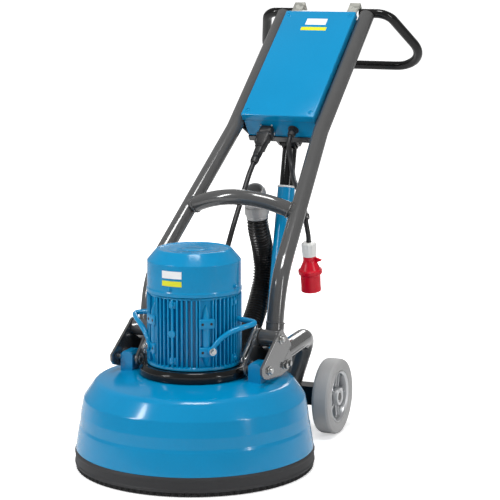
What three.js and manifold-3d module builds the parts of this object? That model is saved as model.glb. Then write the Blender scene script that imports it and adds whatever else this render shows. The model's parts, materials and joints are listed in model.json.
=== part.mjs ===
// A walk-behind planetary concrete grinder: a three-disc grinding head with its motor, a wheeled chassis,
// and a tubular handle frame that carries the control box. Millimetres, +Z up, the floor at z = 0.
// Lengths below are measured from the motor axis (x = 0, y = 0), with +Y towards the operator.
// The whole machine is moved along Y at the end, so that the origin is under the middle of its length.
import * as THREE from "three";
import { mergeVertices } from "three/addons/utils/BufferGeometryUtils.js";
import Module from "manifold-3d";

const wasm = await Module();
wasm.setup();

// ---------------------------------------------------------------- driving dimensions
const GAP = 0.3; // clearance between pieces that touch

const SKIRT_R = 300; // outside of the rubber band
const SKIRT_TOP = 48.6;
const PLATEAU_Z = 233; // flat top of the shroud
const SHROUD_SHEET = 3.2;

const MOTOR_R = 118; // over the fins
const MOTOR_Z = [261.3, 442];
const COWL_TOP = 549;
const SHAFT_R = 20;
const PAD_ANGLES = [-129, -51, 51, 129]; // mounting pads round the motor, in degrees from +X

const MODULE = 9; // coarse stub teeth
const SUN_TEETH = 15;
const PLANET_TEETH = 18;
const RING_TEETH = 51;
const GEAR_Z = [150, 180];
const SUN_R = (MODULE * SUN_TEETH) / 2;
const PLANET_R = (MODULE * PLANET_TEETH) / 2;
const RING_R = (MODULE * RING_TEETH) / 2;
const ORBIT_R = SUN_R + PLANET_R; // motor axis to spindle
const DISC_R = 112;

const TILT_PIVOT = { y: -12, z: 258 }; // head on chassis, along X
const FRAME_PIVOT = { y: 66, z: 321 }; // handle frame on chassis, along X
const BOLT_R = 8;
const LUG = { x: [157, 190], y: [-31, 17], top: 277 };
const PLATE_X = { inner: [144.5, 150.5], outer: [199.5, 205.5] };

const AXLE = { y: 404.7, z: 100, r: 10 };
const WHEEL_R = 100;
const WHEEL_WIDTH = 50;
const WHEEL_X = 218.4;
const BEAM = { halfLength: 186, side: 50 };
const CHASSIS_TUBE_R = 24;

const FRAME_TUBE_R = 21.2;
const FRAME_FOOT = [175, 91, 302];
const FRAME_KNEE = [175, 125, 455];
const BOX_START = [126.25, 551.4, 787.3]; // where each tube becomes parallel to the control box
const FRAME_TOP = [126.25, 924, 1082];
const BOX_ANGLE = Math.atan2(FRAME_TOP[2] - BOX_START[2], FRAME_TOP[1] - BOX_START[1]);

const CROSSBAR = { y: 310.9, z: 600, rise: 47, half: 150, r: 20.5 }; // its two ends, and the height of its arch
const BOW_TUBE_R = 13.5;
const BOW_DROP = THREE.MathUtils.degToRad(40); // the bow runs back and down from the tube tops
const BOW_LENGTH = 252;

const STRUT_FOOT = { y: 514, z: 150 };
const STRUT_HEAD = { y: 652, z: 744 };
const STRUT_OUTER_R = 24;
const STRUT_INNER_R = 20;
const STRUT_OUTER_LENGTH = 484;

const HOSE_R = 30;
const HOSE_X = -58;
const PORT_END_Y = 300;
const PORT_Z = 190;
const COUPLING_FOOT = [HOSE_X, 553.7, 540.8];
const COUPLING_LEAN = THREE.MathUtils.degToRad(11.7);

// Cord routes, as points on each centre line.
const HOSE_ROUTE = [
  [-58, 300.5, 190], [-58, 328, 190], [-58, 362, 192.5], [-58, 396, 198.5], [-58, 430, 207], [-58, 462, 220],
  [-58, 492, 237], [-58, 520, 259], [-58, 546, 285], [-58, 569, 314], [-58, 588, 346], [-58, 598, 380],
  [-58, 600, 414], [-58, 592, 448], [-58, 578, 478], [-58, 565.8, 500], [-58, 557.9, 520.6], [-58, 553.8, 540.4],
];
const MOTOR_CABLE_R = 7;
const MOTOR_CABLE_ROUTE = [
  [-38, 474.6, 701.1], [-38, 459, 688], [-38, 441, 671], [-38, 420, 647.5], [-38, 398, 622],
  [-38, 374, 594], [-38, 350, 566.5], [-38, 327, 538.5], [-38, 302, 506], [-38, 275, 471],
  [-38, 250, 442], [-38, 225, 417], [-38, 204, 396.6], [-38, 188.3, 378.8],
];
const POWER_CABLE_R = 6.5;
const POWER_CABLE_ROUTE = [
  [36, 559.7, 768.2], [36, 551.8, 762], [37.5, 543.5, 748], [40.5, 540.5, 730], [46, 538, 708], [52, 528, 691], [63, 508, 677],
  [84, 466, 661], [112, 420, 646], [136, 388, 622], [152, 368, 597], [159.5, 356, 570],
  [163.7, 355.8, 549], [165.4, 358.4, 533.5], [165.4, 361, 517.5],
];
const PLUG_TOP = [165.4, 361, 517];
const PLUG_LEAN = 0.16;

// ---------------------------------------------------------------- materials
const paint = (color, roughness = 0.35, metalness = 0) =>
  new THREE.MeshStandardMaterial({ color, roughness, metalness });
const BLUE = paint(0x1583c4);
const DARK_GREY = paint(0x5b5c5e, 0.45, 0.2);
const BLACK = paint(0x161718, 0.3);
const RUBBER = paint(0x2a2b2d, 0.8);
const TYRE_GREY = paint(0x9c9ea0, 0.7);
const ALUMINIUM = paint(0xb4b6b8, 0.4, 0.8);
const STEEL = paint(0xc4c6c8, 0.3, 0.9);
const CAST_IRON = paint(0x6f7173, 0.6, 0.6);
const CAST_GREY = paint(0x8e9092, 0.45, 0.5);
const RED = paint(0xc81432);
const GREEN = paint(0x1c9a4a);
const COPPER = paint(0xb8734a, 0.4, 0.7);

// ---------------------------------------------------------------- shape helpers
// A closed three.js geometry as a manifold solid, with its shared vertices merged.
function solid(geometry) {
  const bare = geometry.clone();
  bare.deleteAttribute("normal");
  bare.deleteAttribute("uv");
  const merged = mergeVertices(bare, 1e-4);
  const index = merged.index.array;
  const kept = [];
  for (let i = 0; i < index.length; i += 3) {
    const [a, b, c] = [index[i], index[i + 1], index[i + 2]];
    if (a !== b && b !== c && c !== a) kept.push(a, b, c);
  }
  const make = (triangles) =>
    new wasm.Manifold(
      new wasm.Mesh({
        numProp: 3,
        vertProperties: merged.attributes.position.array,
        triVerts: new Uint32Array(triangles),
      }),
    );
  const made = make(kept);
  if (made.volume() > 0) return made;
  for (let i = 0; i < kept.length; i += 3) [kept[i + 1], kept[i + 2]] = [kept[i + 2], kept[i + 1]];
  return make(kept);
}

// A named mesh from a manifold solid, added to a group.
function addMesh(group, name, shape, material) {
  const { vertProperties, triVerts, numProp } = shape.getMesh();
  const position = new Float32Array((vertProperties.length / numProp) * 3);
  for (let i = 0; i < position.length / 3; i++)
    for (let k = 0; k < 3; k++) position[3 * i + k] = vertProperties[numProp * i + k];
  const geometry = new THREE.BufferGeometry();
  geometry.setAttribute("position", new THREE.BufferAttribute(position, 3));
  geometry.setIndex(Array.from(triVerts));
  geometry.computeVertexNormals();
  const mesh = new THREE.Mesh(geometry, material);
  mesh.name = name;
  group.add(mesh);
  return mesh;
}

const joined = (shapes) => shapes.reduce((whole, shape) => whole.add(shape));
const cut = (shape, ...tools) => tools.reduce((rest, tool) => rest.subtract(tool), shape);

function block(x, y, z) {
  const geometry = new THREE.BoxGeometry(x[1] - x[0], y[1] - y[0], z[1] - z[0]);
  geometry.translate((x[0] + x[1]) / 2, (y[0] + y[1]) / 2, (z[0] + z[1]) / 2);
  return solid(geometry);
}

// A profile of [radius, height] points turned about Z. It closes on itself or ends on the axis.
function turned(profile, segments = 24) {
  const onAxis = profile[0][0] === 0 && profile.at(-1)[0] === 0;
  const points = (onAxis ? profile : [...profile, profile[0]]).map(([r, h]) => new THREE.Vector2(r, h));
  const geometry = new THREE.LatheGeometry(points, segments);
  geometry.rotateX(Math.PI / 2);
  return solid(geometry);
}

const tubeProfile = (inner, outer, z) => [[inner, z[0]], [outer, z[0]], [outer, z[1]], [inner, z[1]]];

// A round bar between two points.
function bar(from, to, radius, sides = 16) {
  const a = new THREE.Vector3(...from);
  const b = new THREE.Vector3(...to);
  const geometry = new THREE.CylinderGeometry(radius, radius, a.distanceTo(b), sides);
  const turn = new THREE.Quaternion().setFromUnitVectors(
    new THREE.Vector3(0, 1, 0),
    b.clone().sub(a).normalize(),
  );
  geometry.applyQuaternion(turn);
  geometry.translate(...a.add(b).multiplyScalar(0.5).toArray());
  return solid(geometry);
}

const crossBar = (x, y, z, radius, sides) => bar([x[0], y, z], [x[1], y, z], radius, sides);

// An outline of [y, z] points extruded along X.
function plateAcross(outline, x) {
  const shape = new THREE.Shape(outline.map(([y, z]) => new THREE.Vector2(y, z)));
  const geometry = new THREE.ExtrudeGeometry(shape, { depth: x[1] - x[0], bevelEnabled: false });
  geometry.applyMatrix4(
    new THREE.Matrix4().set(0, 0, 1, x[0], 1, 0, 0, 0, 0, 1, 0, 0, 0, 0, 0, 1),
  );
  return solid(geometry);
}

// An outline of [x, y] points extruded along Z.
function plateUp(outline, z) {
  const shape = new THREE.Shape(outline.map(([x, y]) => new THREE.Vector2(x, y)));
  const geometry = new THREE.ExtrudeGeometry(shape, { depth: z[1] - z[0], bevelEnabled: false });
  geometry.translate(0, 0, z[0]);
  return solid(geometry);
}

// An outline of [x, z] points extruded along Y.
function plateBack(outline, y) {
  const shape = new THREE.Shape(outline.map(([x, z]) => new THREE.Vector2(x, z)));
  const geometry = new THREE.ExtrudeGeometry(shape, { depth: y[1] - y[0], bevelEnabled: false });
  geometry.rotateX(Math.PI / 2);
  geometry.translate(0, y[1], 0);
  return solid(geometry);
}

// A route through given points, taken as they are, for ExtrudeGeometry to follow.
class Route extends THREE.Curve {
  constructor(points) {
    super();
    this.points = points;
  }
  getPoint(t, target = new THREE.Vector3()) {
    const place = t * (this.points.length - 1);
    const i = Math.min(Math.floor(place), this.points.length - 2);
    return target.lerpVectors(this.points[i], this.points[i + 1], place - i);
  }
  getPointAt(u, target) {
    return this.getPoint(u, target);
  }
  getTangent(t, target = new THREE.Vector3()) {
    const i = Math.round(t * (this.points.length - 1));
    const before = this.points[Math.max(i - 1, 0)];
    const after = this.points[Math.min(i + 1, this.points.length - 1)];
    const here = this.points[i];
    const arriving = here.clone().sub(before).normalize();
    const leaving = after.clone().sub(here).normalize();
    return target.addVectors(arriving, leaving).normalize();
  }
  getTangentAt(u, target) {
    return this.getTangent(u, target);
  }
}

// A round bar or cord along [x, y, z] points.
function pipe(points, radius, sides = 12) {
  const route = new Route(points.map((p) => (p.isVector3 ? p : new THREE.Vector3(...p))));
  const ring = Array.from({ length: sides }, (_, i) => {
    const angle = (2 * Math.PI * i) / sides;
    return new THREE.Vector2(radius * Math.cos(angle), radius * Math.sin(angle));
  });
  const steps = route.points.length - 1;
  return solid(new THREE.ExtrudeGeometry(new THREE.Shape(ring), { extrudePath: route, steps }));
}

// Corner points joined by straight runs, each inner corner rounded to its radius.
function rounded(corners, radii, stepsPerArc = 5) {
  const points = corners.map((p) => new THREE.Vector3(...p));
  const path = [points[0]];
  for (let i = 1; i < points.length - 1; i++) {
    const toBack = points[i - 1].clone().sub(points[i]).normalize();
    const toFront = points[i + 1].clone().sub(points[i]).normalize();
    const half = toBack.angleTo(toFront) / 2;
    const setback = radii[i - 1] / Math.tan(half);
    const middle = toBack.clone().add(toFront).normalize();
    const centre = points[i].clone().addScaledVector(middle, radii[i - 1] / Math.sin(half));
    const from = points[i].clone().addScaledVector(toBack, setback).sub(centre);
    const to = points[i].clone().addScaledVector(toFront, setback).sub(centre);
    const turn = Math.PI - 2 * half;
    for (let k = 0; k <= stepsPerArc; k++) {
      const f = k / stepsPerArc;
      const spoke = from.clone().multiplyScalar(Math.sin((1 - f) * turn));
      spoke.addScaledVector(to, Math.sin(f * turn)).divideScalar(Math.sin(turn));
      path.push(centre.clone().add(spoke));
    }
  }
  path.push(points.at(-1));
  return path;
}

const mirrored = ([x, y, z]) => [-x, y, z];
const onSide = (side, point) => (side > 0 ? point : mirrored(point));
const spanOn = (side, [low, high]) => (side > 0 ? [low, high] : [-high, -low]);
const SIDES = [["right", 1], ["left", -1]];

// ---------------------------------------------------------------- gears
// Stub-tooth outline. Height and width of a tooth are given at its tip, pitch line and root.
const ADDENDUM = 6;
const DEDENDUM = 7.5;
const TOOTH_SHARE = { tip: 0.2, pitch: 0.36, root: 0.54 };
function gearOutline(teeth, firstTooth, inward = false) {
  const pitchR = (MODULE * teeth) / 2;
  const out = inward ? -1 : 1;
  const step = (2 * Math.PI) / teeth;
  const outline = [];
  for (let i = 0; i < teeth; i++) {
    const middle = firstTooth + i * step;
    const put = (radius, share) => {
      const angle = middle + (share * step) / 2;
      outline.push([radius * Math.cos(angle), radius * Math.sin(angle)]);
    };
    put(pitchR - out * DEDENDUM, -TOOTH_SHARE.root);
    put(pitchR + out * ADDENDUM, -TOOTH_SHARE.tip);
    put(pitchR + out * ADDENDUM, TOOTH_SHARE.tip);
    put(pitchR - out * DEDENDUM, TOOTH_SHARE.root);
  }
  return outline;
}

// ---------------------------------------------------------------- grinding head
function makeShroud() {
  const outside = [[297, 49], [286, 110], [276, 177], [245, 221], [138, PLATEAU_Z]];
  const inside = outside.map(([r, z]) => [r - SHROUD_SHEET, z - (z > 200 ? SHROUD_SHEET : 0)]);
  const bell = turned([[0, 49], ...outside, [0, PLATEAU_Z]], 40);
  const hollow = turned([[0, 40], [inside[0][0], 40], ...inside, [0, PLATEAU_Z - SHROUD_SHEET]], 40);
  const port = bar([HOSE_X, 215, PORT_Z], [HOSE_X, PORT_END_Y, PORT_Z], 31);
  const portBore = bar([HOSE_X, 200, PORT_Z], [HOSE_X, PORT_END_Y + 10, PORT_Z], 27);
  const throat = turned([[0, 200], [62, 200], [62, 250], [0, 250]], 32);
  const slots = SIDES.map(([, side]) =>
    block(spanOn(side, [LUG.x[0] - 0.8, LUG.x[1] + 0.8]), [LUG.y[0] - 0.8, LUG.y[1] + 0.8], [200, 250]),
  );
  return cut(bell.add(port), hollow, portBore, throat, ...slots);
}

// The plate under the shroud: gear case cover, ring gear and the two lugs that hang in the chassis.
function makeHeadFrame() {
  const wallR = RING_R + DEDENDUM;
  const cover = turned(
    [[46, 184], [46, 219], [150, 219], [150, 192], [254, 192], [254, 150], [wallR, 150], [wallR, 184]],
    48,
  );
  const band = plateUp(gearOutline(RING_TEETH, -Math.PI / 2, true), GEAR_Z);
  const teeth = cut(turned([[0, 150], [wallR + 1, 150], [wallR + 1, 180], [0, 180]], 48), band);
  const [inner, outer] = LUG.x;
  const lugFront = [[inner, 186], [outer, 186], [outer, 270], [outer - 7, LUG.top], [inner + 7, LUG.top], [inner, 270]];
  const lugs = SIDES.map(([, side]) => plateBack(lugFront.map(([x, z]) => [side * x, z]), LUG.y));
  const bore = crossBar([-210, 210], TILT_PIVOT.y, TILT_PIVOT.z, BOLT_R + GAP, 16);
  return cut(joined([cover, teeth, ...lugs]), bore);
}

function makeMotorHousing() {
  const fins = 36;
  const finRootR = 107;
  const outline = [];
  for (let i = 0; i < fins; i++) {
    const middle = (2 * Math.PI * (i + 0.5)) / fins;
    for (const [radius, share] of [[finRootR, -0.24], [MOTOR_R, -0.17], [MOTOR_R, 0.17], [finRootR, 0.24]]) {
      const angle = middle + (share * 2 * Math.PI) / fins;
      outline.push([radius * Math.cos(angle), radius * Math.sin(angle)]);
    }
  }
  const finned = plateUp(outline, [270, 436]);
  const foot = turned([[0, MOTOR_Z[0]], [MOTOR_R, MOTOR_Z[0]], [MOTOR_R, 268], [112, 270.5], [0, 270.5]], 32);
  const rim = turned([[0, 435.5], [114, 435.5], [114, MOTOR_Z[1]], [0, MOTOR_Z[1]]], 32);
  const columns = PAD_ANGLES.map((degrees) => {
    const column = new THREE.BoxGeometry(22, 36, 168);
    column.translate(106, 0, 352);
    column.rotateZ(THREE.MathUtils.degToRad(degrees));
    return solid(column);
  });
  const pads = PAD_ANGLES.flatMap((degrees) =>
    [309, 379].map((height) => {
      const pad = new THREE.BoxGeometry(24, 40, 24);
      pad.translate(109, 0, height);
      pad.rotateZ(THREE.MathUtils.degToRad(degrees));
      return solid(pad);
    }),
  );
  const bore = turned(
    [[0, 274], [35.3, 274], [35.3, 291], [85, 291], [85, 424], [104.5, 424], [104.5, 450], [0, 450]],
    24,
  );
  const shaftHole = turned([[0, 255], [24, 255], [24, 280], [0, 280]], 16);
  return cut(joined([finned, foot, rim, ...columns, ...pads]), bore, shaftHole);
}

function makeFanCowl() {
  const shell = turned(
    [
      [118, 442.6], [116, 523], [91, COWL_TOP], [0, COWL_TOP + 1],
      [0, COWL_TOP - 2], [90, COWL_TOP - 3], [113, 522], [115, 442.6],
    ],
    32,
  );
  const vents = Array.from({ length: 8 }, (_, i) => {
    const angle = (Math.PI * (i + 0.5)) / 4;
    const [x, y] = [48 * Math.cos(angle), 48 * Math.sin(angle)];
    return bar([x, y, 545], [x, y, 570], 9, 8);
  });
  return cut(shell, ...vents);
}

function makeTerminalBox() {
  const sideView = [[122, 306], [172, 306], [172, 353], [135, 386], [122, 386]];
  const gland = bar([-38, 160, 346.6], [-38, 187.6, 378], 10, 10);
  const nut = bar([-38, 172, 360.2], [-38, 182, 371.6], 13, 6);
  return joined([plateAcross(sideView, [-62, 30]), gland, nut]);
}

// Bent-rod lifting loop on the motor's side.
function makeLiftLoop(side) {
  const path = [
    [80, -80, 315], [89, -77, 325], [104, -67.5, 343], [123, -53, 357], [144, -31, 365], [158, -11, 369],
    [162, -2, 370.5], [158, 2, 373], [146, 3, 375], [130, 3, 377], [108, 3, 379],
  ];
  const motor = turned([[0, 250], [123.2, 250], [123.2, 450], [0, 450]], 40);
  return cut(pipe(path.map((point) => onSide(side, point)), 6.5, 10), motor);
}

// Motor shaft with the sun gear cut on its lower end.
function makeShaft() {
  const shaft = turned([[0, 122], [SHAFT_R, 122], [SHAFT_R, 440], [15, 440], [15, 515], [0, 515]], 24);
  return shaft.add(plateUp(gearOutline(SUN_TEETH, -Math.PI / 2), GEAR_Z));
}

function makeFan() {
  const hub = turned(tubeProfile(15.3, 28, [455, 500]), 16);
  const blades = Array.from({ length: 7 }, (_, i) => {
    const blade = new THREE.BoxGeometry(70, 3, 40);
    blade.rotateX(0.35);
    blade.translate(60, 0, 478);
    blade.rotateZ((2 * Math.PI * i) / 7);
    return solid(blade);
  });
  return joined([hub, ...blades]);
}

const orbitAngle = (i) => -Math.PI / 2 + (2 * Math.PI * i) / 3;

function makeDrivePlate() {
  const plate = turned(
    [[SHAFT_R + GAP, 95], [225, 95], [225, 110], [36, 110], [36, 146], [SHAFT_R + GAP, 146]],
    40,
  );
  const seats = [];
  const bores = [];
  for (let i = 0; i < 3; i++) {
    const [x, y] = [ORBIT_R * Math.cos(orbitAngle(i)), ORBIT_R * Math.sin(orbitAngle(i))];
    seats.push(bar([x, y, 78], [x, y, 125], 32));
    bores.push(bar([x, y, 70], [x, y, 130], 15 + GAP));
  }
  return cut(joined([plate, ...seats]), ...bores);
}

// Planet gear on its spindle, about its own axis.
function makePlanet(direction) {
  const halfTooth = Math.PI / PLANET_TEETH;
  const gear = plateUp(gearOutline(PLANET_TEETH, direction + halfTooth), GEAR_Z);
  return gear.add(turned([[0, 60], [15, 60], [15, 182], [0, 182]], 16));
}

// Tool plate with six diamond segments, about its own axis.
function makeGrindingDisc() {
  const plate = turned([[0, 14], [DISC_R, 14], [DISC_R, 26], [34, 30], [30, 59.6], [0, 59.6]], 32);
  const segments = Array.from({ length: 6 }, (_, i) => {
    const segment = new THREE.BoxGeometry(14, 44, 15);
    segment.translate(92, 0, 7.5);
    segment.rotateZ((Math.PI * i) / 3);
    return solid(segment);
  });
  return joined([plate, ...segments]);
}

function buildHead(machine) {
  const head = new THREE.Group();
  machine.add(head);
  addMesh(head, "shroud", makeShroud(), BLUE);
  const band = [[293.5, 12], [SKIRT_R, 12], [SKIRT_R, 46], [298, SKIRT_TOP], [293.5, SKIRT_TOP]];
  addMesh(head, "skirt_band", turned(band, 48), RUBBER);
  addMesh(head, "skirt_brush", turned(tubeProfile(291, 297, [1, 11.6]), 48), BLACK);
  const flange = [[60, 233.3], [138, 233.3], [138, 251], [135, 258], [127, 261], [60, 261]];
  addMesh(head, "head_ring", turned(flange, 40), BLACK);
  addMesh(head, "head_frame", makeHeadFrame(), BLUE);
  addMesh(head, "motor_housing", makeMotorHousing(), BLUE);
  addMesh(head, "stator", turned(tubeProfile(61, 84.6, [300, 400]), 24), COPPER);
  addMesh(head, "bearing_bottom", turned(tubeProfile(SHAFT_R + GAP, 35, [274.4, 290]), 20), STEEL);
  const shield = [[SHAFT_R + GAP, 424.4], [104, 424.4], [104, 434], [40, 434], [40, 441], [SHAFT_R + GAP, 441]];
  addMesh(head, "end_shield", turned(shield, 24), CAST_IRON);
  addMesh(head, "fan_cowl", makeFanCowl(), BLUE);
  addMesh(head, "terminal_box", makeTerminalBox(), BLACK);
  for (const [name, side] of SIDES) addMesh(head, `lift_loop_${name}`, makeLiftLoop(side), BLUE);
  addMesh(head, "motor_shaft", makeShaft(), STEEL);
  addMesh(head, "rotor_core", turned(tubeProfile(SHAFT_R + GAP, 60, [300, 400]), 24), CAST_GREY);
  addMesh(head, "cooling_fan", makeFan(), BLACK);
  addMesh(head, "drive_plate", makeDrivePlate(), CAST_IRON);
  for (let i = 0; i < 3; i++) {
    const satellite = new THREE.Group();
    satellite.position.set(ORBIT_R * Math.cos(orbitAngle(i)), ORBIT_R * Math.sin(orbitAngle(i)), 0);
    head.add(satellite);
    addMesh(satellite, `planet_gear_${i + 1}`, makePlanet(orbitAngle(i)), STEEL);
    addMesh(satellite, `grinding_disc_${i + 1}`, makeGrindingDisc(), CAST_IRON);
  }
}

// ---------------------------------------------------------------- chassis
// Two side plates joined by a web, with the two tilt stop bolts. The inner plate stands further back.
function makePivotBracket(side) {
  const top = [[45, 335], [54, 342], [66, 345], [78, 342], [90, 331], [133, 298], [135, 290], [120, 284], [142, 262]];
  const outer = [[-13, 235], [-46, 245], [-58, 257], [-59, 272], ...top, [142, 251], [118, 234], [67, 229.5]];
  const inner = [[-13, 239], [-26, 246], [-30, 255], [-27, 268], ...top, [142, 251], [120, 237], [67, 236]];
  const plates = [plateAcross(inner, spanOn(side, PLATE_X.inner)), plateAcross(outer, spanOn(side, PLATE_X.outer))];
  const web = block(spanOn(side, [PLATE_X.inner[0], PLATE_X.outer[1]]), [66, 108], [236, 242.5]);
  const stops = [87, 114].map((y) => crossBar(spanOn(side, [204, 214]), y, 250, 8, 6));
  const bores = [TILT_PIVOT, FRAME_PIVOT].map(({ y, z }) =>
    crossBar(spanOn(side, [130, 220]), y, z, BOLT_R + GAP, 16),
  );
  return cut(joined([...plates, web, ...stops]), ...bores);
}

function makeChassisTube(side) {
  const path = rounded([[175.3, 110, 266], [171, 341, 275], [98.5, 402, 100]], [64], 6);
  const tube = pipe(path.map((p) => onSide(side, p.toArray())), CHASSIS_TUBE_R, 14);
  const beamTop = AXLE.z + BEAM.side / 2 + GAP;
  return cut(tube, block([-300, 300], [300, 500], [0, beamTop]));
}

const CLAMP_R = 32.8; // stays beside the strut's path as the handle folds

// Square axle beam with stub axles, the strut's two lugs and pin, and the stand that holds the hose's end.
function makeAxleBeam() {
  const half = BEAM.side / 2;
  const beam = block([-BEAM.halfLength, BEAM.halfLength], [AXLE.y - half, AXLE.y + half], [AXLE.z - half, AXLE.z + half]);
  const axles = SIDES.map(([, side]) =>
    crossBar(spanOn(side, [BEAM.halfLength - 5, 240]), AXLE.y, AXLE.z, AXLE.r, 16),
  );
  const rear = AXLE.y + half;
  const lug = [
    [rear - 2, 80], [rear - 2, 122], [496, 166], [512, 170], [526, 164], [533, 150], [526, 137], [506, 128], [470, 100], [450, 80],
  ];
  const lugs = SIDES.map(([, side]) => plateAcross(lug, spanOn(side, [27.5, 34])));
  const pin = crossBar([-38, 38], STRUT_FOOT.y, STRUT_FOOT.z, BOLT_R, 16);
  const stand = pipe(rounded([[-80, 425, 88], [-80, 600, 140], [-80, 650, 566], [-60, 579, 566]], [70, 32], 5), 7, 8);
  const clamp = bar(alongCoupling(14), alongCoupling(34), CLAMP_R, 20);
  const seat = bar(alongCoupling(-20), alongCoupling(60), 31 + GAP, 20);
  return joined([beam, ...axles, ...lugs, pin, cut(stand.add(clamp), seat)]);
}

// Hexagon bolt through a pivot, with a nut's thickness of head at each end.
function makePivotBolt(side, { y, z }) {
  const x = [PLATE_X.inner[0], PLATE_X.outer[1]];
  const shank = crossBar(spanOn(side, [x[0] - 3, x[1] + 4]), y, z, BOLT_R, 16);
  const head = crossBar(spanOn(side, [x[1] + GAP, x[1] + 9]), y, z, 13, 6);
  const nut = crossBar(spanOn(side, [x[0] - 4.5, x[0] - GAP]), y, z, 12, 6);
  return joined([shank, head, nut]);
}

// Extension spring between head and bracket, as its outer cylinder.
function makeSpring(side) {
  return bar(onSide(side, [132, -13, 272]), onSide(side, [132, 88, 346]), 8, 10);
}

function makeTyre() {
  const half = WHEEL_WIDTH / 2;
  const profile = [
    [68, -half + 3], [90, -half], [97, -half + 3], [WHEEL_R, -half + 11],
    [WHEEL_R, half - 11], [97, half - 3], [90, half], [68, half - 3],
  ];
  return turned(profile, 36);
}

function makeHub() {
  const rim = turned(tubeProfile(58, 67.7, [-21, 21]), 30);
  const boss = turned([[0, -22], [25, -22], [25, 23], [0, 23]], 20);
  const spokes = Array.from({ length: 5 }, (_, i) => {
    const spoke = new THREE.BoxGeometry(42, 18, 26);
    spoke.translate(40, 0, 0);
    spoke.rotateZ((2 * Math.PI * i) / 5 + Math.PI / 2);
    return solid(spoke);
  });
  const bore = turned([[0, -40], [AXLE.r + GAP, -40], [AXLE.r + GAP, 22], [0, 22]], 16);
  return cut(joined([rim, boss, ...spokes]), bore);
}

function buildChassis(machine) {
  const chassis = new THREE.Group();
  machine.add(chassis);
  addMesh(chassis, "axle_beam", makeAxleBeam(), BLACK);
  for (const [name, side] of SIDES) {
    addMesh(chassis, `pivot_bracket_${name}`, makePivotBracket(side), DARK_GREY);
    addMesh(chassis, `chassis_tube_${name}`, makeChassisTube(side), DARK_GREY);
    addMesh(chassis, `head_pivot_bolt_${name}`, makePivotBolt(side, TILT_PIVOT), STEEL);
    addMesh(chassis, `frame_pivot_bolt_${name}`, makePivotBolt(side, FRAME_PIVOT), STEEL);
    addMesh(chassis, `tilt_spring_${name}`, makeSpring(side), STEEL);
    const wheel = new THREE.Group();
    wheel.position.set(side * WHEEL_X, AXLE.y, AXLE.z);
    wheel.rotation.y = (side * Math.PI) / 2; // the wheel's own +Z points outwards
    chassis.add(wheel);
    addMesh(wheel, `tyre_${name}`, makeTyre(), TYRE_GREY);
    addMesh(wheel, `wheel_hub_${name}`, makeHub(), ALUMINIUM);
  }
}

// ---------------------------------------------------------------- handle frame
const frameTubePath = (side) =>
  rounded([FRAME_FOOT, FRAME_KNEE, BOX_START, FRAME_TOP], [220, 260], 5).map((p) => onSide(side, p.toArray()));

function makeFrameTube(side) {
  const tube = pipe(frameTubePath(side), FRAME_TUBE_R, 16);
  const barrel = crossBar(spanOn(side, [151.3, 198.7]), FRAME_PIVOT.y, FRAME_PIVOT.z, FRAME_TUBE_R, 16);
  const bore = crossBar(spanOn(side, [140, 210]), FRAME_PIVOT.y, FRAME_PIVOT.z, BOLT_R + GAP, 16);
  const whole = tube.add(barrel);
  if (side < 0) return cut(whole, bore);
  const stem = bar([151, 334, 615], [155, 354, 592], 4, 8);
  const ring = bar([153.9, 364.6, 589.5], [157.6, 359.4, 577.5], POWER_CABLE_R + 4.5, 12);
  const hole = bar([148, 373, 608], [163.2, 351.8, 559], POWER_CABLE_R + 1.8, 12);
  return cut(joined([whole, stem, ring]), bore, hole);
}

// Bowed tube between the two frame tubes, its ends cut to fit round them.
function makeCrossbar() {
  const slope = Math.atan2(0.788, -0.616);
  const path = Array.from({ length: 13 }, (_, i) => {
    const x = CROSSBAR.half * (i / 6 - 1);
    const lift = CROSSBAR.rise * (1 - (x / CROSSBAR.half) ** 2);
    return [x, CROSSBAR.y + lift * Math.cos(slope), CROSSBAR.z + lift * Math.sin(slope)];
  });
  const clearance = SIDES.map(([, side]) => pipe(frameTubePath(side), FRAME_TUBE_R + GAP, 16));
  return cut(pipe(path, CROSSBAR.r, 14), ...clearance);
}

// Round the operator's side: out from each tube top, back, and across as the grip.
function makeBow() {
  const start = [0, FRAME_TOP[1] + 13.9 * Math.cos(BOX_ANGLE), FRAME_TOP[2] + 13.9 * Math.sin(BOX_ANGLE)];
  const at = (x, s) => [x, start[1] + s * Math.cos(BOW_DROP), start[2] - s * Math.sin(BOW_DROP)];
  const corners = [
    at(101, 3), at(184, 3), at(266, BOW_LENGTH), at(-266, BOW_LENGTH), at(-184, 3), at(-101, 3),
  ];
  return pipe(rounded(corners, [45, 84, 84, 45], 6), BOW_TUBE_R, 12);
}

// Pieces of the control box are drawn flat: x across, y up along the frame, z out of the cover.
const BODY = { x: 103, y: [24, 452], z: [-49, 27] };
const COVER = { x: 106, y: [21.5, 456], z: [10.5, 32] };
const SHEET = 2;
const PANEL_Z = -18;
const CONTROLS = { emergency_stop: -42, start_button: -4, stop_button: 24, speed_knob: 54 };

function makeBoxBody() {
  const outside = block([-BODY.x, BODY.x], BODY.y, BODY.z);
  const inside = block(
    [SHEET - BODY.x, BODY.x - SHEET],
    [BODY.y[0] + SHEET, BODY.y[1] - SHEET],
    [BODY.z[0] + SHEET, BODY.z[1] + 5],
  );
  const holes = Object.entries(CONTROLS).map(([name, x]) => {
    const radius = { emergency_stop: 8.5, speed_knob: 3.8 }[name] ?? 7.5;
    return bar([x, 440, PANEL_Z], [x, 460, PANEL_Z], radius, 12);
  });
  return cut(outside, inside, ...holes);
}

function makeBoxCover() {
  const outside = block([-COVER.x, COVER.x], COVER.y, COVER.z);
  const inside = block(
    [SHEET - COVER.x, COVER.x - SHEET],
    [COVER.y[0] + SHEET, COVER.y[1] - SHEET],
    [COVER.z[0] - 5, COVER.z[1] - SHEET],
  );
  return cut(outside, inside);
}

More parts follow.
